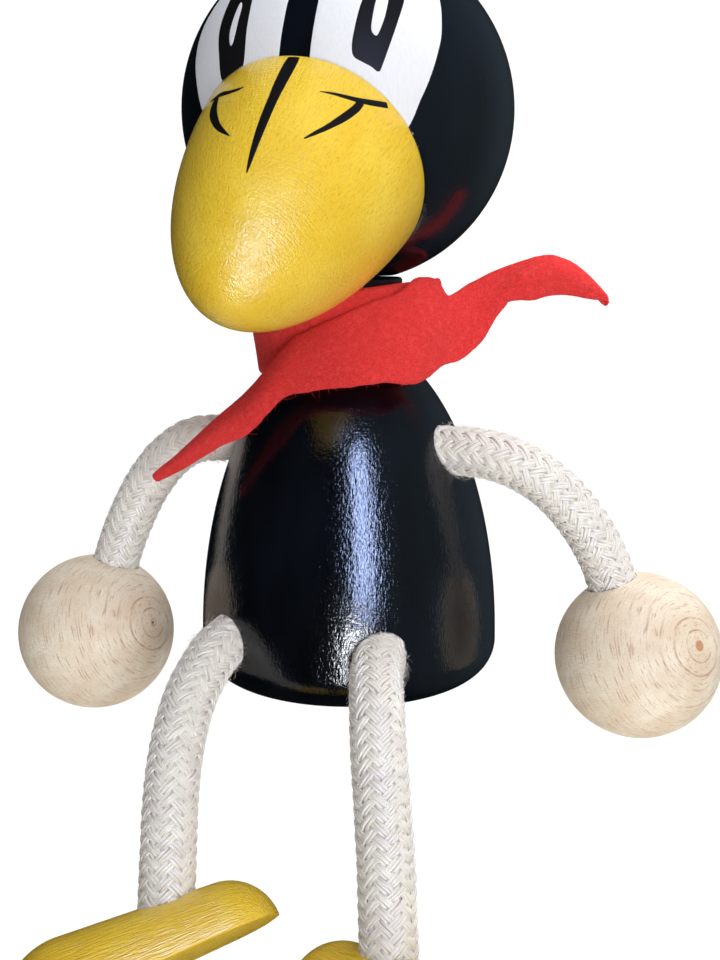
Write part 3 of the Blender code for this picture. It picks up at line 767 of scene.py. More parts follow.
def film_patch(name, outline, film, finish_made):
    """Thin closed patch of paint on the head inside an outline, thinner at its edge."""
    flat = closed_catmull([(x, z, 0) for x, z in outline], 12) * MM
    rim = np.array([(on_head(x, z, 0) - HEAD_CENTRE).normalized() for x, z, _ in flat])
    rim = even_path(np.vstack([rim, rim[:1]]), 0.5 * MM / HEAD_RADIUS)[:-1]
    centre = rim.mean(axis=0)
    centre /= np.linalg.norm(centre)
    count, rings, fullness = len(rim), 30, 30
    shape = bmesh.new()
    layers = []
    for top in (True, False):
        layer = [[shape.verts.new(HEAD_CENTRE + Vector(centre) * (
            HEAD_RADIUS + (film if top else -film)))]]
        for ring in range(1, rings + 1):
            share = ring / rings
            lift = film * (1 - share ** fullness) if top else -film
            points = centre + (rim - centre) * share
            points *= (HEAD_RADIUS + lift) / np.linalg.norm(points, axis=1, keepdims=True)
            layer.append([shape.verts.new(HEAD_CENTRE + Vector(point)) for point in points])
        layers.append(layer)
    for layer in layers:
        for index in range(count):
            nxt = (index + 1) % count
            shape.faces.new((layer[0][0], layer[1][index], layer[1][nxt]))
            for inner, outer in zip(layer[1:], layer[2:]):
                shape.faces.new((inner[index], outer[index], outer[nxt], inner[nxt]))
    for index in range(count):
        nxt = (index + 1) % count
        shape.faces.new((layers[0][-1][index], layers[1][-1][index],
                         layers[1][-1][nxt], layers[0][-1][nxt]))
    # The flat for the bill cuts the paint off.
    sliced(shape, HEAD_CENTRE + BILL_AXIS * bill_seat(), BILL_AXIS, SLIVER)
    return from_bmesh(name, shape, finish_made)


def film_stroke(name, stroke, film, finish_made):
    """Thin closed brush stroke on the bill along (distance, degrees, half width) points."""
    line = catmull(stroke, 10)
    distance, angle, half = line[:, 0] * MM, np.radians(line[:, 1]), line[:, 2] * MM
    radius = np.array([bill_radius(value) for value in distance])
    ahead = unit(np.column_stack([np.gradient(distance), np.gradient(angle) * radius]))
    shape = bmesh.new()
    across, fullness = np.linspace(-1, 1, 9), 6
    layers = []
    for top in (True, False):
        rows = []
        for index in range(len(line)):
            row = []
            for share in across:
                shift = share * half[index]
                lift = film * (1 - share ** fullness) if top else -film
                row.append(shape.verts.new(on_bill(
                    distance[index] + shift * ahead[index, 1],
                    angle[index] - shift * ahead[index, 0] / radius[index], lift)))
            rows.append(row)
        layers.append(rows)
    last, wide = len(line) - 1, len(across) - 1
    for rows in layers:
        for index in range(last):
            for column in range(wide):
                shape.faces.new((rows[index][column], rows[index + 1][column],
                                 rows[index + 1][column + 1], rows[index][column + 1]))
    top, low = layers
    for index in range(last):
        for column in (0, wide):
            shape.faces.new((top[index][column], top[index + 1][column],
                             low[index + 1][column], low[index][column]))
    for column in range(wide):
        for index in (0, last):
            shape.faces.new((top[index][column], top[index][column + 1],
                             low[index][column + 1], low[index][column]))
    return from_bmesh(name, shape, finish_made)


# ---- rope -------------------------------------------------------------------------------

def path_frames(path):
    """Tangents and two normals along a path, carried along it without twist."""
    ahead = unit(np.gradient(path, axis=0))
    normal = np.cross(ahead[0], [0.0, 0.0, 1.0])
    if np.linalg.norm(normal) < 0.1:
        normal = np.cross(ahead[0], [1.0, 0.0, 0.0])
    normals = []
    for tangent in ahead:
        normal = normal - tangent * normal.dot(tangent)
        normal = normal / np.linalg.norm(normal)
        normals.append(normal)
    normals = np.array(normals)
    return ahead, normals, np.cross(ahead, normals)


def swept(centres, wide, thick, wide_size, thick_size, sides):
    """Points and faces of a closed tube of oval section along its centres."""
    count = len(centres)
    angles = 2 * np.pi * np.arange(sides) / sides
    rings = (centres[:, None] + np.cos(angles)[None, :, None] * wide[:, None] * wide_size
             + np.sin(angles)[None, :, None] * thick[:, None] * thick_size)
    faces = []
    for ring in range(count - 1):
        for side in range(sides):
            nxt = (side + 1) % sides
            low, high = ring * sides, (ring + 1) * sides
            faces.append((low + side, low + nxt, high + nxt, high + side))
    faces.append(tuple(range(sides - 1, -1, -1)))
    faces.append(tuple((count - 1) * sides + side for side in range(sides)))
    return rings.reshape(-1, 3), faces


def braid(name, path, radius, sizes, finish_made, seed):
    """Round braided rope along a path: twenty-four bundles of yarns, twelve each way round,
    that pass over two and under two of the others, on a round core."""
    rng = np.random.default_rng(seed)
    ahead, normals, sides_of = path_frames(path)
    along = distances(path)
    bundles, tube_sides = 12, 6
    step = 2 * math.pi / bundles
    turn = 2 * math.pi / sizes.braid_lay
    yarn = sizes.yarn_radius
    outer = radius - 0.8 * yarn
    dip = 1.9 * yarn
    pitch = 1.56 * yarn             # from one yarn of a bundle to the next
    steep = 1.9                     # how quickly a bundle goes over or under
    filament = 0.9 * MM             # rope length of one repeat of a yarn's filaments
    lean = math.atan(outer * turn)
    points, faces, coords = [], [], []

    def keep(new_points, new_faces, new_coords):
        """Add one part's points, faces and yarn coordinates to the rope."""
        first = sum(len(part) for part in points)
        points.append(new_points)
        faces.extend(tuple(first + corner for corner in face) for face in new_faces)
        coords.append(new_coords)

    for way in (1, -1):
        for bundle in range(bundles):
            crossing = 2 * bundle + way * 2 * turn * along / step
            over = np.cos(2 * math.pi * (crossing - (0.5 if way == 1 else 2.5)) / 4)
            over = np.tanh(steep * over) / math.tanh(steep)
            for strand in range(sizes.yarns_each):
                off_middle = strand - (sizes.yarns_each - 1) / 2
                shift = off_middle * pitch / math.cos(lean)
                drift = np.interp(along, np.linspace(0, along[-1], 9), rng.normal(0, 0.018, 9))
                rise = np.interp(along, np.linspace(0, along[-1], 17), rng.normal(0, 0.05, 17))
                angle = bundle * step + way * turn * along + shift / outer + drift
                crown = 0.45 * yarn * (1 - abs(off_middle))
                level = outer - dip * (1 - over) / 2 + rise * yarn + crown
                out = (np.cos(angle)[:, None] * normals + np.sin(angle)[:, None] * sides_of)
                centres = path + out * level[:, None]
                tangent = unit(np.gradient(centres, axis=0))
                across = unit(np.cross(tangent, out))
                up = np.cross(across, tangent)
                tube_points, tube_faces = swept(
                    centres, across, up, yarn, 0.86 * yarn, tube_sides)
                lengths = np.repeat(along / filament, tube_sides)
                turns = np.tile(np.arange(tube_sides) / 3.0, len(along))
                keep(tube_points, tube_faces, np.column_stack([lengths, turns]))
    core = radius - 2.9 * yarn
    core_points, core_faces = swept(path, normals, sides_of, core, core, 20)
    keep(core_points, core_faces, np.zeros((len(core_points), 2)))

    # Loose filaments: a ruff where the rope comes out of its bore, and short ones along it.
    count, ruff_share, thickness = 1100, 0.3, 0.020 * MM
    ruff = rng.random(count) < ruff_share
    where = np.where(ruff, rng.uniform(BORE_DEPTH - 0.001, BORE_DEPTH + 0.005, count),
                     rng.uniform(BORE_DEPTH, along[-1] - 0.004, count))
    index = np.clip(np.searchsorted(along, where), 1, len(along) - 2)
    angle = rng.uniform(0, 2 * math.pi, count)
    out = np.cos(angle)[:, None] * normals[index] + np.sin(angle)[:, None] * sides_of[index]
    roots = path[index] + out * (radius - 0.5 * yarn)
    reach = np.where(ruff, rng.uniform(0.7, 2.0, count), rng.uniform(0.4, 1.3, count))
    reach = reach[:, None] * MM
    sweep = np.cross(ahead[index], out) * rng.normal(0, 0.8, count)[:, None]
    tips = roots + (out * 0.55 + sweep
                    + ahead[index] * rng.normal(0, 0.7, count)[:, None]) * reach
    middles = (roots + tips) / 2 + out * reach * rng.uniform(0.1, 0.5, count)[:, None]
    hair_points, hair_faces = hair_mesh(roots, middles, tips, np.full(count, thickness))
    keep(hair_points, hair_faces, np.zeros((len(hair_points), 2)))

    rope = from_arrays(name, np.vstack(points), faces, finish_made)
    yarn_uv = rope.data.uv_layers.new(name="yarn")
    corner_points = np.zeros(len(rope.data.loops), int)
    rope.data.loops.foreach_get("vertex_index", corner_points)
    yarn_uv.data.foreach_set("uv", np.vstack(coords)[corner_points].ravel())
    return rope


def joint_place(name):
    """Where a joint turns, which is where its rope leaves the body."""
    return Vector(JOINTS[name]["pos_m"])


def rope_path(kind, side):
    """Smooth line of an arm or leg from the bottom of its bore to the bottom of the other."""
    hand = SIDES[side]
    if kind == "arm":
        mouth = joint_place(side + "_shoulder")
        out = Vector((hand * math.sin(ARM_HEADING), -math.cos(ARM_HEADING), 0))
        route = [from_head(point) for point in ARM_ROUTES[side]]
        centre = from_head(HAND_PLACES[side])
        wrist = (route[-1] - centre).normalized()
        ends = [centre + wrist * (HAND_RADIUS + reach) for reach in (MM, -HAND_BORE_DEPTH)]
    else:
        mouth = joint_place(side + "_hip")
        out = Vector((hand * math.sin(LEG_SPLAY) * math.cos(LEG_DIP),
                      -math.cos(LEG_SPLAY) * math.cos(LEG_DIP), -math.sin(LEG_DIP)))
        route = [from_head(point) for point in LEG_ROUTES[side]]
        ankle = from_head(FOOT_PLACES[side])
        down = (ankle - route[-1]).normalized()
        ends = [ankle, ankle + down * FOOT_BORE_DEPTH]
    start = [mouth - out * BORE_DEPTH, mouth - out * BORE_DEPTH / 2, mouth,
             mouth + out * STRAIGHT_OUT]
    return mouth, out, even_path(catmull(start + route + ends, 16), 0.5 * MM)


# ---- operators --------------------------------------------------------------------------

class CROW_OT_head(bpy.types.Operator):
    """Turn the head ball with its flats for the bill and the neck"""
    bl_idname = "crow.head"
    bl_label = "Head"

    def execute(self, context):
        seat, rim, rows = bill_seat(), bill_radius(bill_seat()), 96
        first = math.asin(rim / HEAD_RADIUS) + math.radians(0.15)
        profile = [(0.0, seat), (rim - 0.1 * MM, seat)]
        profile += [(HEAD_RADIUS * math.sin(first + (math.pi - first) * row / rows),
                     HEAD_RADIUS * math.cos(first + (math.pi - first) * row / rows))
                    for row in range(rows)]
        profile.append((0.0, -HEAD_RADIUS))
        shape = spun(profile, 192)
        head = from_bmesh("turned_head", shape, finish(context, "black"))
        head.data.transform(Matrix.Translation(HEAD_CENTRE) @ facing(BILL_AXIS))
        seat_place = HEAD_CENTRE - Vector((0, 0, HEAD_SEAT))
        bore(head, seat_place, (0, 0, -1), 0.02, 0.0, lead=0.01)
        bore(head, seat_place, (0, 0, -1), NECK_PEG_RADIUS + GLUE_GAP, HEAD_PEG_DEPTH)
        head.data.transform(Matrix.Translation(-HEAD_CENTRE))
        head.location = HEAD_CENTRE
        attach(head, "head")
        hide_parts("head")
        return {"FINISHED"}


class CROW_OT_face(bpy.types.Operator):
    """Paint the eyes on the head"""
    bl_idname = "crow.face"
    bl_label = "Face paint"

    def execute(self, context):
        film = context.scene.crow_sizes.paint_film
        for kind, outlines, name, depth in (("eye_white", EYE_WHITES, "white", 1.0),
                                            ("pupil", PUPILS, "ink", 1.8),
                                            ("eye_glint", GLINTS, "white", 2.6)):
            for side, outline in outlines.items():
                patch = film_patch(side + "_" + kind, outline, film * depth,
                                   finish(context, name))
                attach(patch, "head")
        return {"FINISHED"}


class CROW_OT_bill(bpy.types.Operator):
    """Turn the bill and brush its ridge line and nostrils on it"""
    bl_idname = "crow.bill"
    bl_label = "Bill"

    def execute(self, context):
        back, rows = bill_seat() + 0.03 * MM, 90
        profile = [(0.0, BILL_REACH)]
        for row in range(1, rows + 1):
            distance = back + 0.2 * MM + (BILL_REACH - back - 0.2 * MM) * math.cos(
                math.pi / 2 * row / rows)
            profile.append((bill_radius(distance), distance))
        rim = bill_radius(back)
        profile += [(rim - 0.02 * MM, back + 0.08 * MM), (rim - 0.12 * MM, back), (0.0, back)]
        bill = from_bmesh("turned_bill", spun(profile, 192), finish(context, "bill_yellow"))
        bill.matrix_world = Matrix.Translation(HEAD_CENTRE) @ facing(BILL_AXIS)
        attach(bill, "head")
        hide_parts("bill")
        for name, stroke in BILL_STROKES.items():
            mark = film_stroke(name, stroke, context.scene.crow_sizes.paint_film,
                               finish(context, "ink"))
            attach(mark, "head")
        return {"FINISHED"}


class CROW_OT_hanging_eye(bpy.types.Operator):
    """Bend the wire screw eye on top of the head"""
    bl_idname = "crow.hanging_eye"
    bl_label = "Hanging eye"

    def execute(self, context):
        wire = context.scene.crow_sizes.wire_radius
        first, last, steps = math.radians(-90), math.radians(222), 72
        ring = [(RING_RADIUS * math.cos(first + (last - first) * step / steps), 0,
                 RING_RADIUS * math.sin(first + (last - first) * step / steps))
                for step in range(steps + 1)]
        shank = [(0, 0, -RING_RISE - 0.0120 + 0.0007 * step) for step in range(20)]
        centres = np.array([point for point in shank if point[2] < -RING_RADIUS - 0.0006] + ring)
        ahead = unit(np.gradient(centres, axis=0))
        side = np.tile([0.0, 1.0, 0.0], (len(centres), 1))
        points, faces = swept(centres, np.cross(ahead, side), side, wire, wire, 20)
        eye = from_arrays("screw_eye", points, faces, finish(context, "steel"))
        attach(eye, "head")
        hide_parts("hanging_eye")
        return {"FINISHED"}


class CROW_OT_body(bpy.types.Operator):
    """Turn the body with its neck and drill the bores for arms and legs"""
    bl_idname = "crow.body"
    bl_label = "Body"

    def execute(self, context):
        sizes = context.scene.crow_sizes
        rows, corner = 110, 24
        first = math.acos(NECK_RADIUS / BODY_RADIUS)
        peg, chamfer, rounding = NECK_PEG_RADIUS + GLUE_GAP, 0.2 * MM, 0.6 * MM
        profile = [(0.0, NECK_TOP - BODY_PEG_DEPTH), (peg, NECK_TOP - BODY_PEG_DEPTH),
                   (peg, NECK_TOP - chamfer), (peg + chamfer, NECK_TOP),
                   (NECK_RADIUS - rounding, NECK_TOP)]
        profile += [(NECK_RADIUS - rounding + rounding * math.sin(turn),
                     NECK_TOP - rounding + rounding * math.cos(turn))
                    for turn in np.radians([22, 45, 68, 90])]
        for row in range(rows + 1):
            height = BELLY + BODY_SHOULDER * math.sin(first * (1 - row / rows))
            profile.append((BODY_RADIUS * math.sqrt(1 - ((height - BELLY) / BODY_SHOULDER) ** 2),
                            height))
        for row in range(1, corner + 1):
            angle = math.pi / 2 * row / corner
            profile.append((BODY_RADIUS - BODY_SKIRT * (1 - math.cos(angle)),
                            BELLY - BODY_SKIRT * math.sin(angle)))
        profile.append((0.0, BELLY - BODY_SKIRT))
        body = from_bmesh("turned_body", spun(profile, 192), finish(context, "black"))
        for side in SIDES:
            for kind, radius in (("arm", sizes.arm_rope_radius), ("leg", sizes.leg_rope_radius)):
                mouth, out, _ = rope_path(kind, side)
                bore(body, mouth, out, radius + ROPE_PLAY, BORE_DEPTH + BORE_SPARE, lead=0.012)
        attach(body, "torso")
        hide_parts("body")
        return {"FINISHED"}


class CROW_OT_joinery(bpy.types.Operator):
    """Give the dowel and the peg inside their bare wood"""
    bl_idname = "crow.joinery"
    bl_label = "Dowel and peg"

    def execute(self, context):
        for name in ("bill_dowel", "neck_peg"):
            node = frame["nodes"][name]
            node.data.materials.clear()
            node.data.materials.append(finish(context, "left_beech"))
        return {"FINISHED"}


class CROW_OT_scarf(bpy.types.Operator):
    """Cut the felt strip and its loop, and tease hairs out of them"""
    bl_idname = "crow.scarf"
    bl_label = "Scarf"

    FOLDS = 1.08                # cut width over the width that shows between the folds

    def execute(self, context):
        rng = np.random.default_rng(7)
        felt = finish(context, "felt")
        steps, rows = 10, 16
        upper = catmull(SCARF_UPPER, steps) * MM
        lower = catmull(SCARF_LOWER, steps) * MM
        bulge = np.interp(np.arange(len(upper)) / steps, range(len(SCARF_BULGE)), SCARF_BULGE) * MM
        ahead = unit(np.gradient((upper + lower) / 2, axis=0))
        down = lower - upper
        out = unit(np.cross(ahead, down), 1e-9)
        out *= np.sign(-out[:, 1:2])
        ragged = np.array([np.convolve(rng.normal(0, 0.16 * MM, len(upper) + 4), [0.2] * 5,
                                       "valid") for _ in range(2)])
        shares = np.linspace(0, 1, rows + 1)
        grid = []
        for share in shares:
            line = upper + down * share + out * (bulge * math.sin(math.pi * share))[:, None]
            ripple = 0.25 * MM * np.sin(np.arange(len(upper)) / 9 + 4 * share)
            edge = ragged[0] * max(0, 1 - 5 * share) - ragged[1] * max(0, 5 * share - 4)
            grid.append(line + HEAD_CENTRE + out * ripple[:, None] + np.outer(edge, [0, 0, 1]))
        grid = np.array(grid)
        strip = self.sheet_of("felt_strip", grid, felt)
        self.thicken(strip)

        around = 160
        turn = Matrix.Rotation(-COLLAR_TILT, 3, "Y")
        centre = Vector((0, 0, NECK_TOP - COLLAR_DROP))
        smooth = np.hanning(25) / np.hanning(25).sum()
        wave = np.convolve(rng.normal(0, 0.5 * MM, 12).repeat(14)[:around + 1], smooth, "same")
        band = []
        for share in np.linspace(-1, 1, 11):
            row = []
            for index in range(around):
                angle = 2 * math.pi * index / around
                radius = COLLAR_RADIUS + 0.25 * MM * math.sin(5 * angle + share)
                height = share * (COLLAR_WIDTH / 2 - 0.1 * MM) + wave[index] * 0.3
                row.append(turn @ Vector((radius * math.cos(angle), radius * math.sin(angle),
                                          height)) + centre)
            band.append(row)
        loop = self.sheet_of("felt_loop", np.array(band), felt, closed=True)
        self.thicken(loop)

        hairs = self.hairs(strip, loop, context.scene.crow_sizes.felt_hairs, rng, felt)
        for piece in (strip, loop, hairs):
            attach(piece, "torso")
        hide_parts("scarf")
        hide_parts("scarf")
        return {"FINISHED"}

    def sheet_of(self, name, grid, felt, closed=False):
        """Sheet through a grid of points, which may close on itself along its rows."""
        rows, columns = grid.shape[:2]
        faces = []
        for row in range(rows - 1):
            for column in range(columns if closed else columns - 1):
                nxt = (column + 1) % columns
                faces.append((row * columns + column, (row + 1) * columns + column,
                              (row + 1) * columns + nxt, row * columns + nxt))
        return from_arrays(name, grid.reshape(-1, 3), faces, felt)

    def thicken(self, sheet):
        """Give a sheet the felt's thickness and softened edges."""
        thick = sheet.modifiers.new("felt", "SOLIDIFY")
        thick.thickness = FELT
        thick.offset = 0
        soft = sheet.modifiers.new("soft_edges", "SUBSURF")
        soft.levels = soft.render_levels = 1
        evaluated(sheet)
        sheet.data.set_sharp_from_angle(angle=math.radians(180))

    def hairs(self, strip, loop, count, rng, felt):
        """Tease loose hairs out of strip and loop, a few of them long."""
        roots, outs = [], []
        for sheet, share in ((strip, 0.8), (loop, 0.2)):
            mesh = sheet.data
            centres = np.array([face.center[:] for face in mesh.polygons])
            normals = np.array([face.normal[:] for face in mesh.polygons])
            areas = np.array([face.area for face in mesh.polygons])
            chosen = rng.choice(len(centres), int(count * share), p=areas / areas.sum())
            roots.append(centres[chosen])
            outs.append(normals[chosen])
        roots, outs = np.vstack(roots), np.vstack(outs)
        size = len(roots)
        reach = rng.uniform(0.3, 1.2, size) * np.where(rng.random(size) < 0.06, 2.6, 1.0)
        reach = reach[:, None] * MM
        lean = rng.normal(0, 1, (size, 3))
        lean -= outs * (lean * outs).sum(axis=1, keepdims=True)
        tips = roots + (outs * rng.uniform(0.15, 0.6, size)[:, None] + lean * 0.7) * reach
        middles = (roots + tips) / 2 + outs * reach * 0.3
        points, faces = hair_mesh(roots - outs * 0.05 * MM, middles, tips,
                                  rng.uniform(0.018, 0.032, size) * MM)
        return from_arrays("felt_hairs", points, faces, felt)


class CROW_OT_ropes(bpy.types.Operator):
    """Braid the four ropes of the arms and legs"""
    bl_idname = "crow.ropes"
    bl_label = "Ropes"

    def execute(self, context):
        sizes = context.scene.crow_sizes
        for number, (side, kind) in enumerate(
                (side, kind) for side in SIDES for kind in ("arm", "leg")):
            radius = sizes.arm_rope_radius if kind == "arm" else sizes.leg_rope_radius
            mouth, out, path = rope_path(kind, side)
            rope = braid(side + "_" + kind + "_braid", path, radius, sizes,
                         finish(context, "rope"), seed=20 + number)
            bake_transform(rope)
            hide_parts(side + "_" + kind + "_rope")
        return {"FINISHED"}


class CROW_OT_hands(bpy.types.Operator):
    """Turn the two ball hands, with the grain's axis across each"""
    bl_idname = "crow.hands"
    bl_label = "Hands"

    # Where the year rings close on each ball's surface, seen from its centre.
    GRAIN = {"left": Vector((0.761, -0.542, 0.356)), "right": Vector((0.947, -0.187, 0.260))}

    def execute(self, context):
        sizes = context.scene.crow_sizes
        for side in SIDES:
            centre = from_head(HAND_PLACES[side])
            wrist = (from_head(ARM_ROUTES[side][-1]) - centre).normalized()
            rows = 90
            profile = [(HAND_RADIUS * math.sin(math.pi * row / rows),
                        HAND_RADIUS * math.cos(math.pi * row / rows)) for row in range(rows + 1)]
            profile[0], profile[-1] = (0.0, HAND_RADIUS), (0.0, -HAND_RADIUS)
            hand = from_bmesh(side + "_ball_hand", spun(profile, 144),
                              finish(context, side + "_beech"))
            turn = facing(self.GRAIN[side].normalized())
            inward = turn.inverted().to_3x3() @ wrist
            bore(hand, inward * HAND_RADIUS, inward, sizes.arm_rope_radius + ROPE_PLAY,
                 HAND_BORE_DEPTH + BORE_SPARE)
            hand.matrix_world = Matrix.Translation(centre) @ turn
            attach(hand, side + "_hand")
            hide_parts(side + "_hand")
        return {"FINISHED"}


class CROW_OT_feet(bpy.types.Operator):
    """Turn the feet and halve them along their length"""
    bl_idname = "crow.feet"
    bl_label = "Feet"

    def outline(self, rows):
        """Half outline of the turned foot: round toe, straight flank, round heel."""
        toe_centre = FOOT_LENGTH - FOOT_TOE_RADIUS
        lean = math.asin((FOOT_TOE_RADIUS - FOOT_HEEL_RADIUS) / (toe_centre - FOOT_HEEL_RADIUS))
        toe_turn = math.pi / 2 + lean
        outline = []
        for row in range(rows + 1):
            angle = toe_turn * row / rows
            outline.append((FOOT_TOE_RADIUS * math.sin(angle),
                            toe_centre + FOOT_TOE_RADIUS * math.cos(angle)))
        flank = 12
        start = outline[rows]
        end = (FOOT_HEEL_RADIUS * math.sin(toe_turn),
               FOOT_HEEL_RADIUS + FOOT_HEEL_RADIUS * math.cos(toe_turn))
        for row in range(1, flank):
            share = row / flank
            outline.append((start[0] + (end[0] - start[0]) * share,
                            start[1] + (end[1] - start[1]) * share))
        for row in range(rows + 1):
            angle = toe_turn + (math.pi - toe_turn) * row / rows
            outline.append((FOOT_HEEL_RADIUS * math.sin(angle),
                            FOOT_HEEL_RADIUS + FOOT_HEEL_RADIUS * math.cos(angle)))
        outline[0] = (0.0, outline[0][1])
        outline[-1] = (0.0, outline[-1][1])
        return outline

    def execute(self, context):
        sizes = context.scene.crow_sizes
        run = (FOOT_ANKLE - FOOT_HEEL_RADIUS) / (
            FOOT_LENGTH - FOOT_TOE_RADIUS - FOOT_HEEL_RADIUS)
        height = FOOT_HEEL_RADIUS + (FOOT_TOE_RADIUS - FOOT_HEEL_RADIUS) * run
        for side in SIDES:
            shape = spun(self.outline(40), 128)
            # The grain stays on the object's own Z, so the sole is the plane at its own -Y.
            rim = sliced(shape, (0, 0, 0), (0, -1, 0), WELD)
            bmesh.ops.bevel(shape, geom=rim, offset=0.5 * MM, segments=3, profile=0.5,
                            affect="EDGES")
            foot = from_bmesh(side + "_half_round_foot", shape, finish(context, "foot_yellow"))
            roll, pitch, yaw = FOOT_TURNS[side]
            turning = (Matrix.Rotation(yaw, 4, "Z") @ Matrix.Rotation(pitch, 4, "X")
                       @ Matrix.Rotation(roll, 4, "Y"))
            ankle = from_head(FOOT_PLACES[side])
            top = turning @ Vector((0, -FOOT_ANKLE, height))
            upright = Matrix.Rotation(math.pi / 2, 4, "X")
            world = Matrix.Translation(ankle - top) @ turning @ upright
            down = (ankle - from_head(LEG_ROUTES[side][-1])).normalized()
            inside = world.inverted()
            bore(foot, inside @ ankle, inside.to_3x3() @ -down, sizes.leg_rope_radius + 0.1 * MM,
                 FOOT_BORE_DEPTH + BORE_SPARE, lead=0.008)
            foot.matrix_world = world
            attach(foot, side + "_foot")
            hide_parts(side + "_foot")
        return {"FINISHED"}


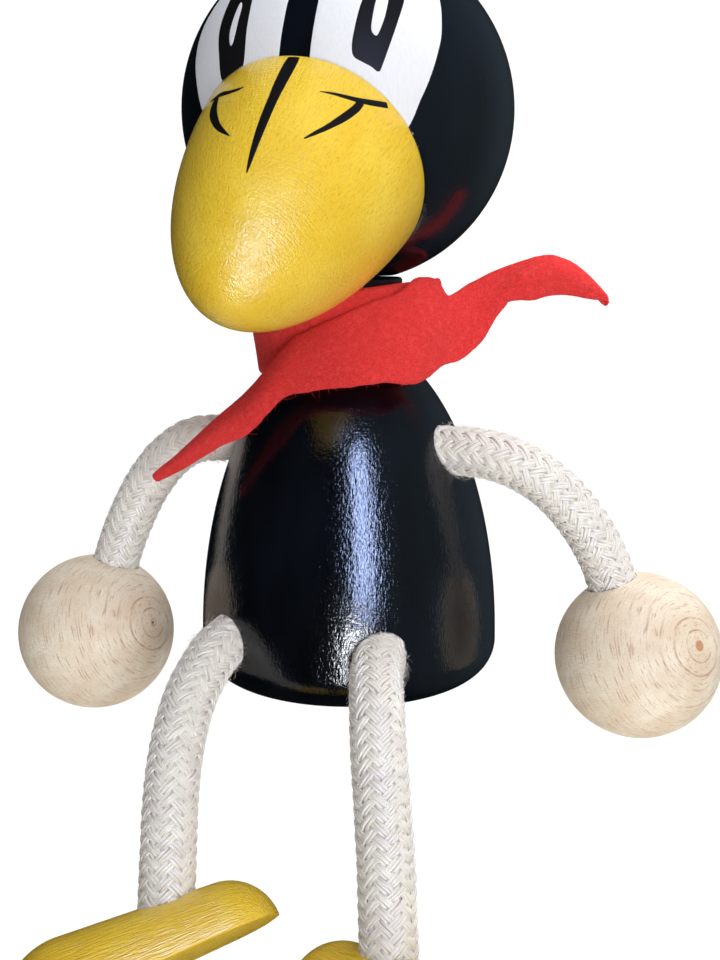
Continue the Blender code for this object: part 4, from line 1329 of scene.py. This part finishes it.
class CROW_OT_stage(bpy.types.Operator):
    """Set the pale paper sweep, the soft lights and the camera"""
    bl_idname = "crow.stage"
    bl_label = "Stage"

    def area_light(self, name, place, target, width, height, glow, tint):
        """Add a panel that shines with this radiance towards a target."""
        light = bpy.data.lights.new(name, "AREA")
        light.shape = "RECTANGLE"
        light.size, light.size_y = width, height
        light.energy = glow * math.pi * width * height
        light.color = linear(tint)
        obj = bpy.data.objects.new(name, light)
        bpy.context.scene.collection.objects.link(obj)
        obj.location = place
        obj.rotation_euler = (Vector(target) - Vector(place)).to_track_quat("-Z", "Y").to_euler()
        obj.visible_camera = False
        return obj

    # Two panes of one tall window show in the gloss. The soft light of sky, room and pale
    # floor, which gives the shading, stays out of it. Each panel has its heading and height
    # in degrees round the puppet, its distance, its size, its radiance, its tint, and
    # whether it shows in the gloss.
    PANELS = (
        ("window_low", 26, -21, 0.60, (0.12, 0.18), 40.0, "#F3F7FF", True),
        ("window_high", 33, 17, 0.61, (0.11, 0.54), 27.0, "#B9CCFF", True),
        ("sky", 24, 46, 0.70, (0.50, 0.50), 3.1, "#F6FAFF", False),
        ("room", 50, 2, 0.60, (0.30, 0.30), 4.9, "#FFFDF8", False),
        ("floor", 18, -46, 0.60, (0.55, 0.50), 1.8, "#FFFCF2", False),
        ("wall_wash", 150, 50, 0.75, (0.9, 0.9), 4.8, "#FFFFFF", False))
    WALL_TARGET = Vector((-0.3, 1.0, 0.1))  # the wall wash lights the paper, not the puppet

    def execute(self, context):
        drop, front, wall, bend, top, half_width = 0.60, -1.2, 0.55, 0.5, 2.4, 2.2
        low = CAD_BOX[0].z - drop
        profile = [(front, low)]
        profile += [(wall + bend * math.sin(turn), low + bend * (1 - math.cos(turn)))
                    for turn in np.linspace(0, math.pi / 2, 24)]
        profile.append((wall + bend, top))
        shape = bmesh.new()
        edges = [[shape.verts.new((x, y, z)) for y, z in profile]
                 for x in (-half_width, half_width)]
        for index in range(len(profile) - 1):
            shape.faces.new((edges[0][index], edges[1][index],
                             edges[1][index + 1], edges[0][index + 1]))
        sweep = from_bmesh("paper_sweep", shape, finish(context, "backdrop"))
        sweep.matrix_world = Matrix.Rotation(math.radians(20), 4, "Z")

        # The paper only throws light back. Behind the puppet every view shows the bright room.
        sweep.visible_glossy = False
        sweep.visible_camera = False

        middle = (CAD_BOX[0] + CAD_BOX[1]) / 2
        for name, heading, height, far, size, glow, tint, mirrored in self.PANELS:
            across, up = math.radians(heading), math.radians(height)
            way = Vector((math.cos(up) * math.sin(across), -math.cos(up) * math.cos(across),
                          math.sin(up)))
            target = middle if name != "wall_wash" else self.WALL_TARGET
            panel = self.area_light(name, middle + way * far, target, *size, glow, tint)
            panel.visible_glossy = mirrored
            panel.visible_diffuse = not mirrored
        world = bpy.data.worlds.new("soft_room")
        context.scene.world = world
        world.use_nodes = True
        # Lacquer mirrors a dim room, lighter on the crow's left; everything else is lit by a
        # pale even one.
        tree = world.node_tree
        way = add(tree, "ShaderNodeTexCoord").outputs["Generated"]
        lean = add(tree, "ShaderNodeVectorMath", {
            0: way, 1: (0.94, 0.25, 0.2)}, operation="DOT_PRODUCT").outputs["Value"]
        dim = add(tree, "ShaderNodeMapRange", {
            "Value": lean, "From Min": 0.1, "From Max": 0.9,
            "To Min": 0.01, "To Max": 0.20}).outputs["Result"]
        rays = add(tree, "ShaderNodeLightPath")
        glossy = add(tree, "ShaderNodeMix", {
            0: rays.outputs["Is Glossy Ray"], 2: 0.16, 3: dim}, data_type="FLOAT")
        seen = add(tree, "ShaderNodeMix", {
            0: rays.outputs["Is Camera Ray"], 2: glossy.outputs[0], 3: 1.1}, data_type="FLOAT")
        tint = tinted(tree, linear("#FAFAF9"), [
            (rays.outputs["Is Glossy Ray"], 0.0, 1.0, 0.0, 1.0, linear("#C4DDEE"))])
        background = tree.nodes["Background"]
        feed(tree, background.inputs["Color"], tint)
        feed(tree, background.inputs["Strength"], seen.outputs[0])
        context.scene.view_settings.view_transform = "Standard"

        lens = bpy.data.cameras.new("camera")
        lens.lens = 46.875
        lens.sensor_width = 36
        lens.clip_start = 0.01
        camera = bpy.data.objects.new("camera", lens)
        context.scene.collection.objects.link(camera)
        camera.location = (0.0825, -0.2204, -0.0594)
        camera.rotation_euler = (math.radians(79.5), 0, math.radians(20))
        context.scene.camera = camera
        return {"FINISHED"}


class CROW_PT_pieces(bpy.types.Panel):
    """Buttons that build each piece, and the settings they read"""
    bl_idname = "CROW_PT_pieces"
    bl_label = "Crow puppet"
    bl_space_type = "VIEW_3D"
    bl_region_type = "UI"
    bl_category = "Crow"

    def draw(self, context):
        for operator in STEPS:
            self.layout.operator(operator.bl_idname)
        for group in (context.scene.crow_sizes, context.scene.crow_colours):
            box = self.layout.box()
            for name in group.__annotations__:
                box.prop(group, name)


STEPS = (CROW_OT_stage, CROW_OT_head, CROW_OT_face, CROW_OT_bill, CROW_OT_hanging_eye,
         CROW_OT_body, CROW_OT_joinery, CROW_OT_scarf, CROW_OT_ropes, CROW_OT_hands,
         CROW_OT_feet)
CLASSES = (CrowColours, CrowSizes, *STEPS, CROW_PT_pieces)


def register():
    """Register the classes and the two groups of settings."""
    for item in CLASSES:
        bpy.utils.register_class(item)
    bpy.types.Scene.crow_colours = PointerProperty(type=CrowColours)
    bpy.types.Scene.crow_sizes = PointerProperty(type=CrowSizes)


def unregister():
    """Take back what register did."""
    del bpy.types.Scene.crow_sizes
    del bpy.types.Scene.crow_colours
    for item in reversed(CLASSES):
        bpy.utils.unregister_class(item)


def main():
    """Build every piece in order."""
    register()
    for operator in STEPS:
        group, name = operator.bl_idname.split(".")
        getattr(getattr(bpy.ops, group), name)()
    bpy.context.view_layer.update()


if __name__ == "__main__":
    main()
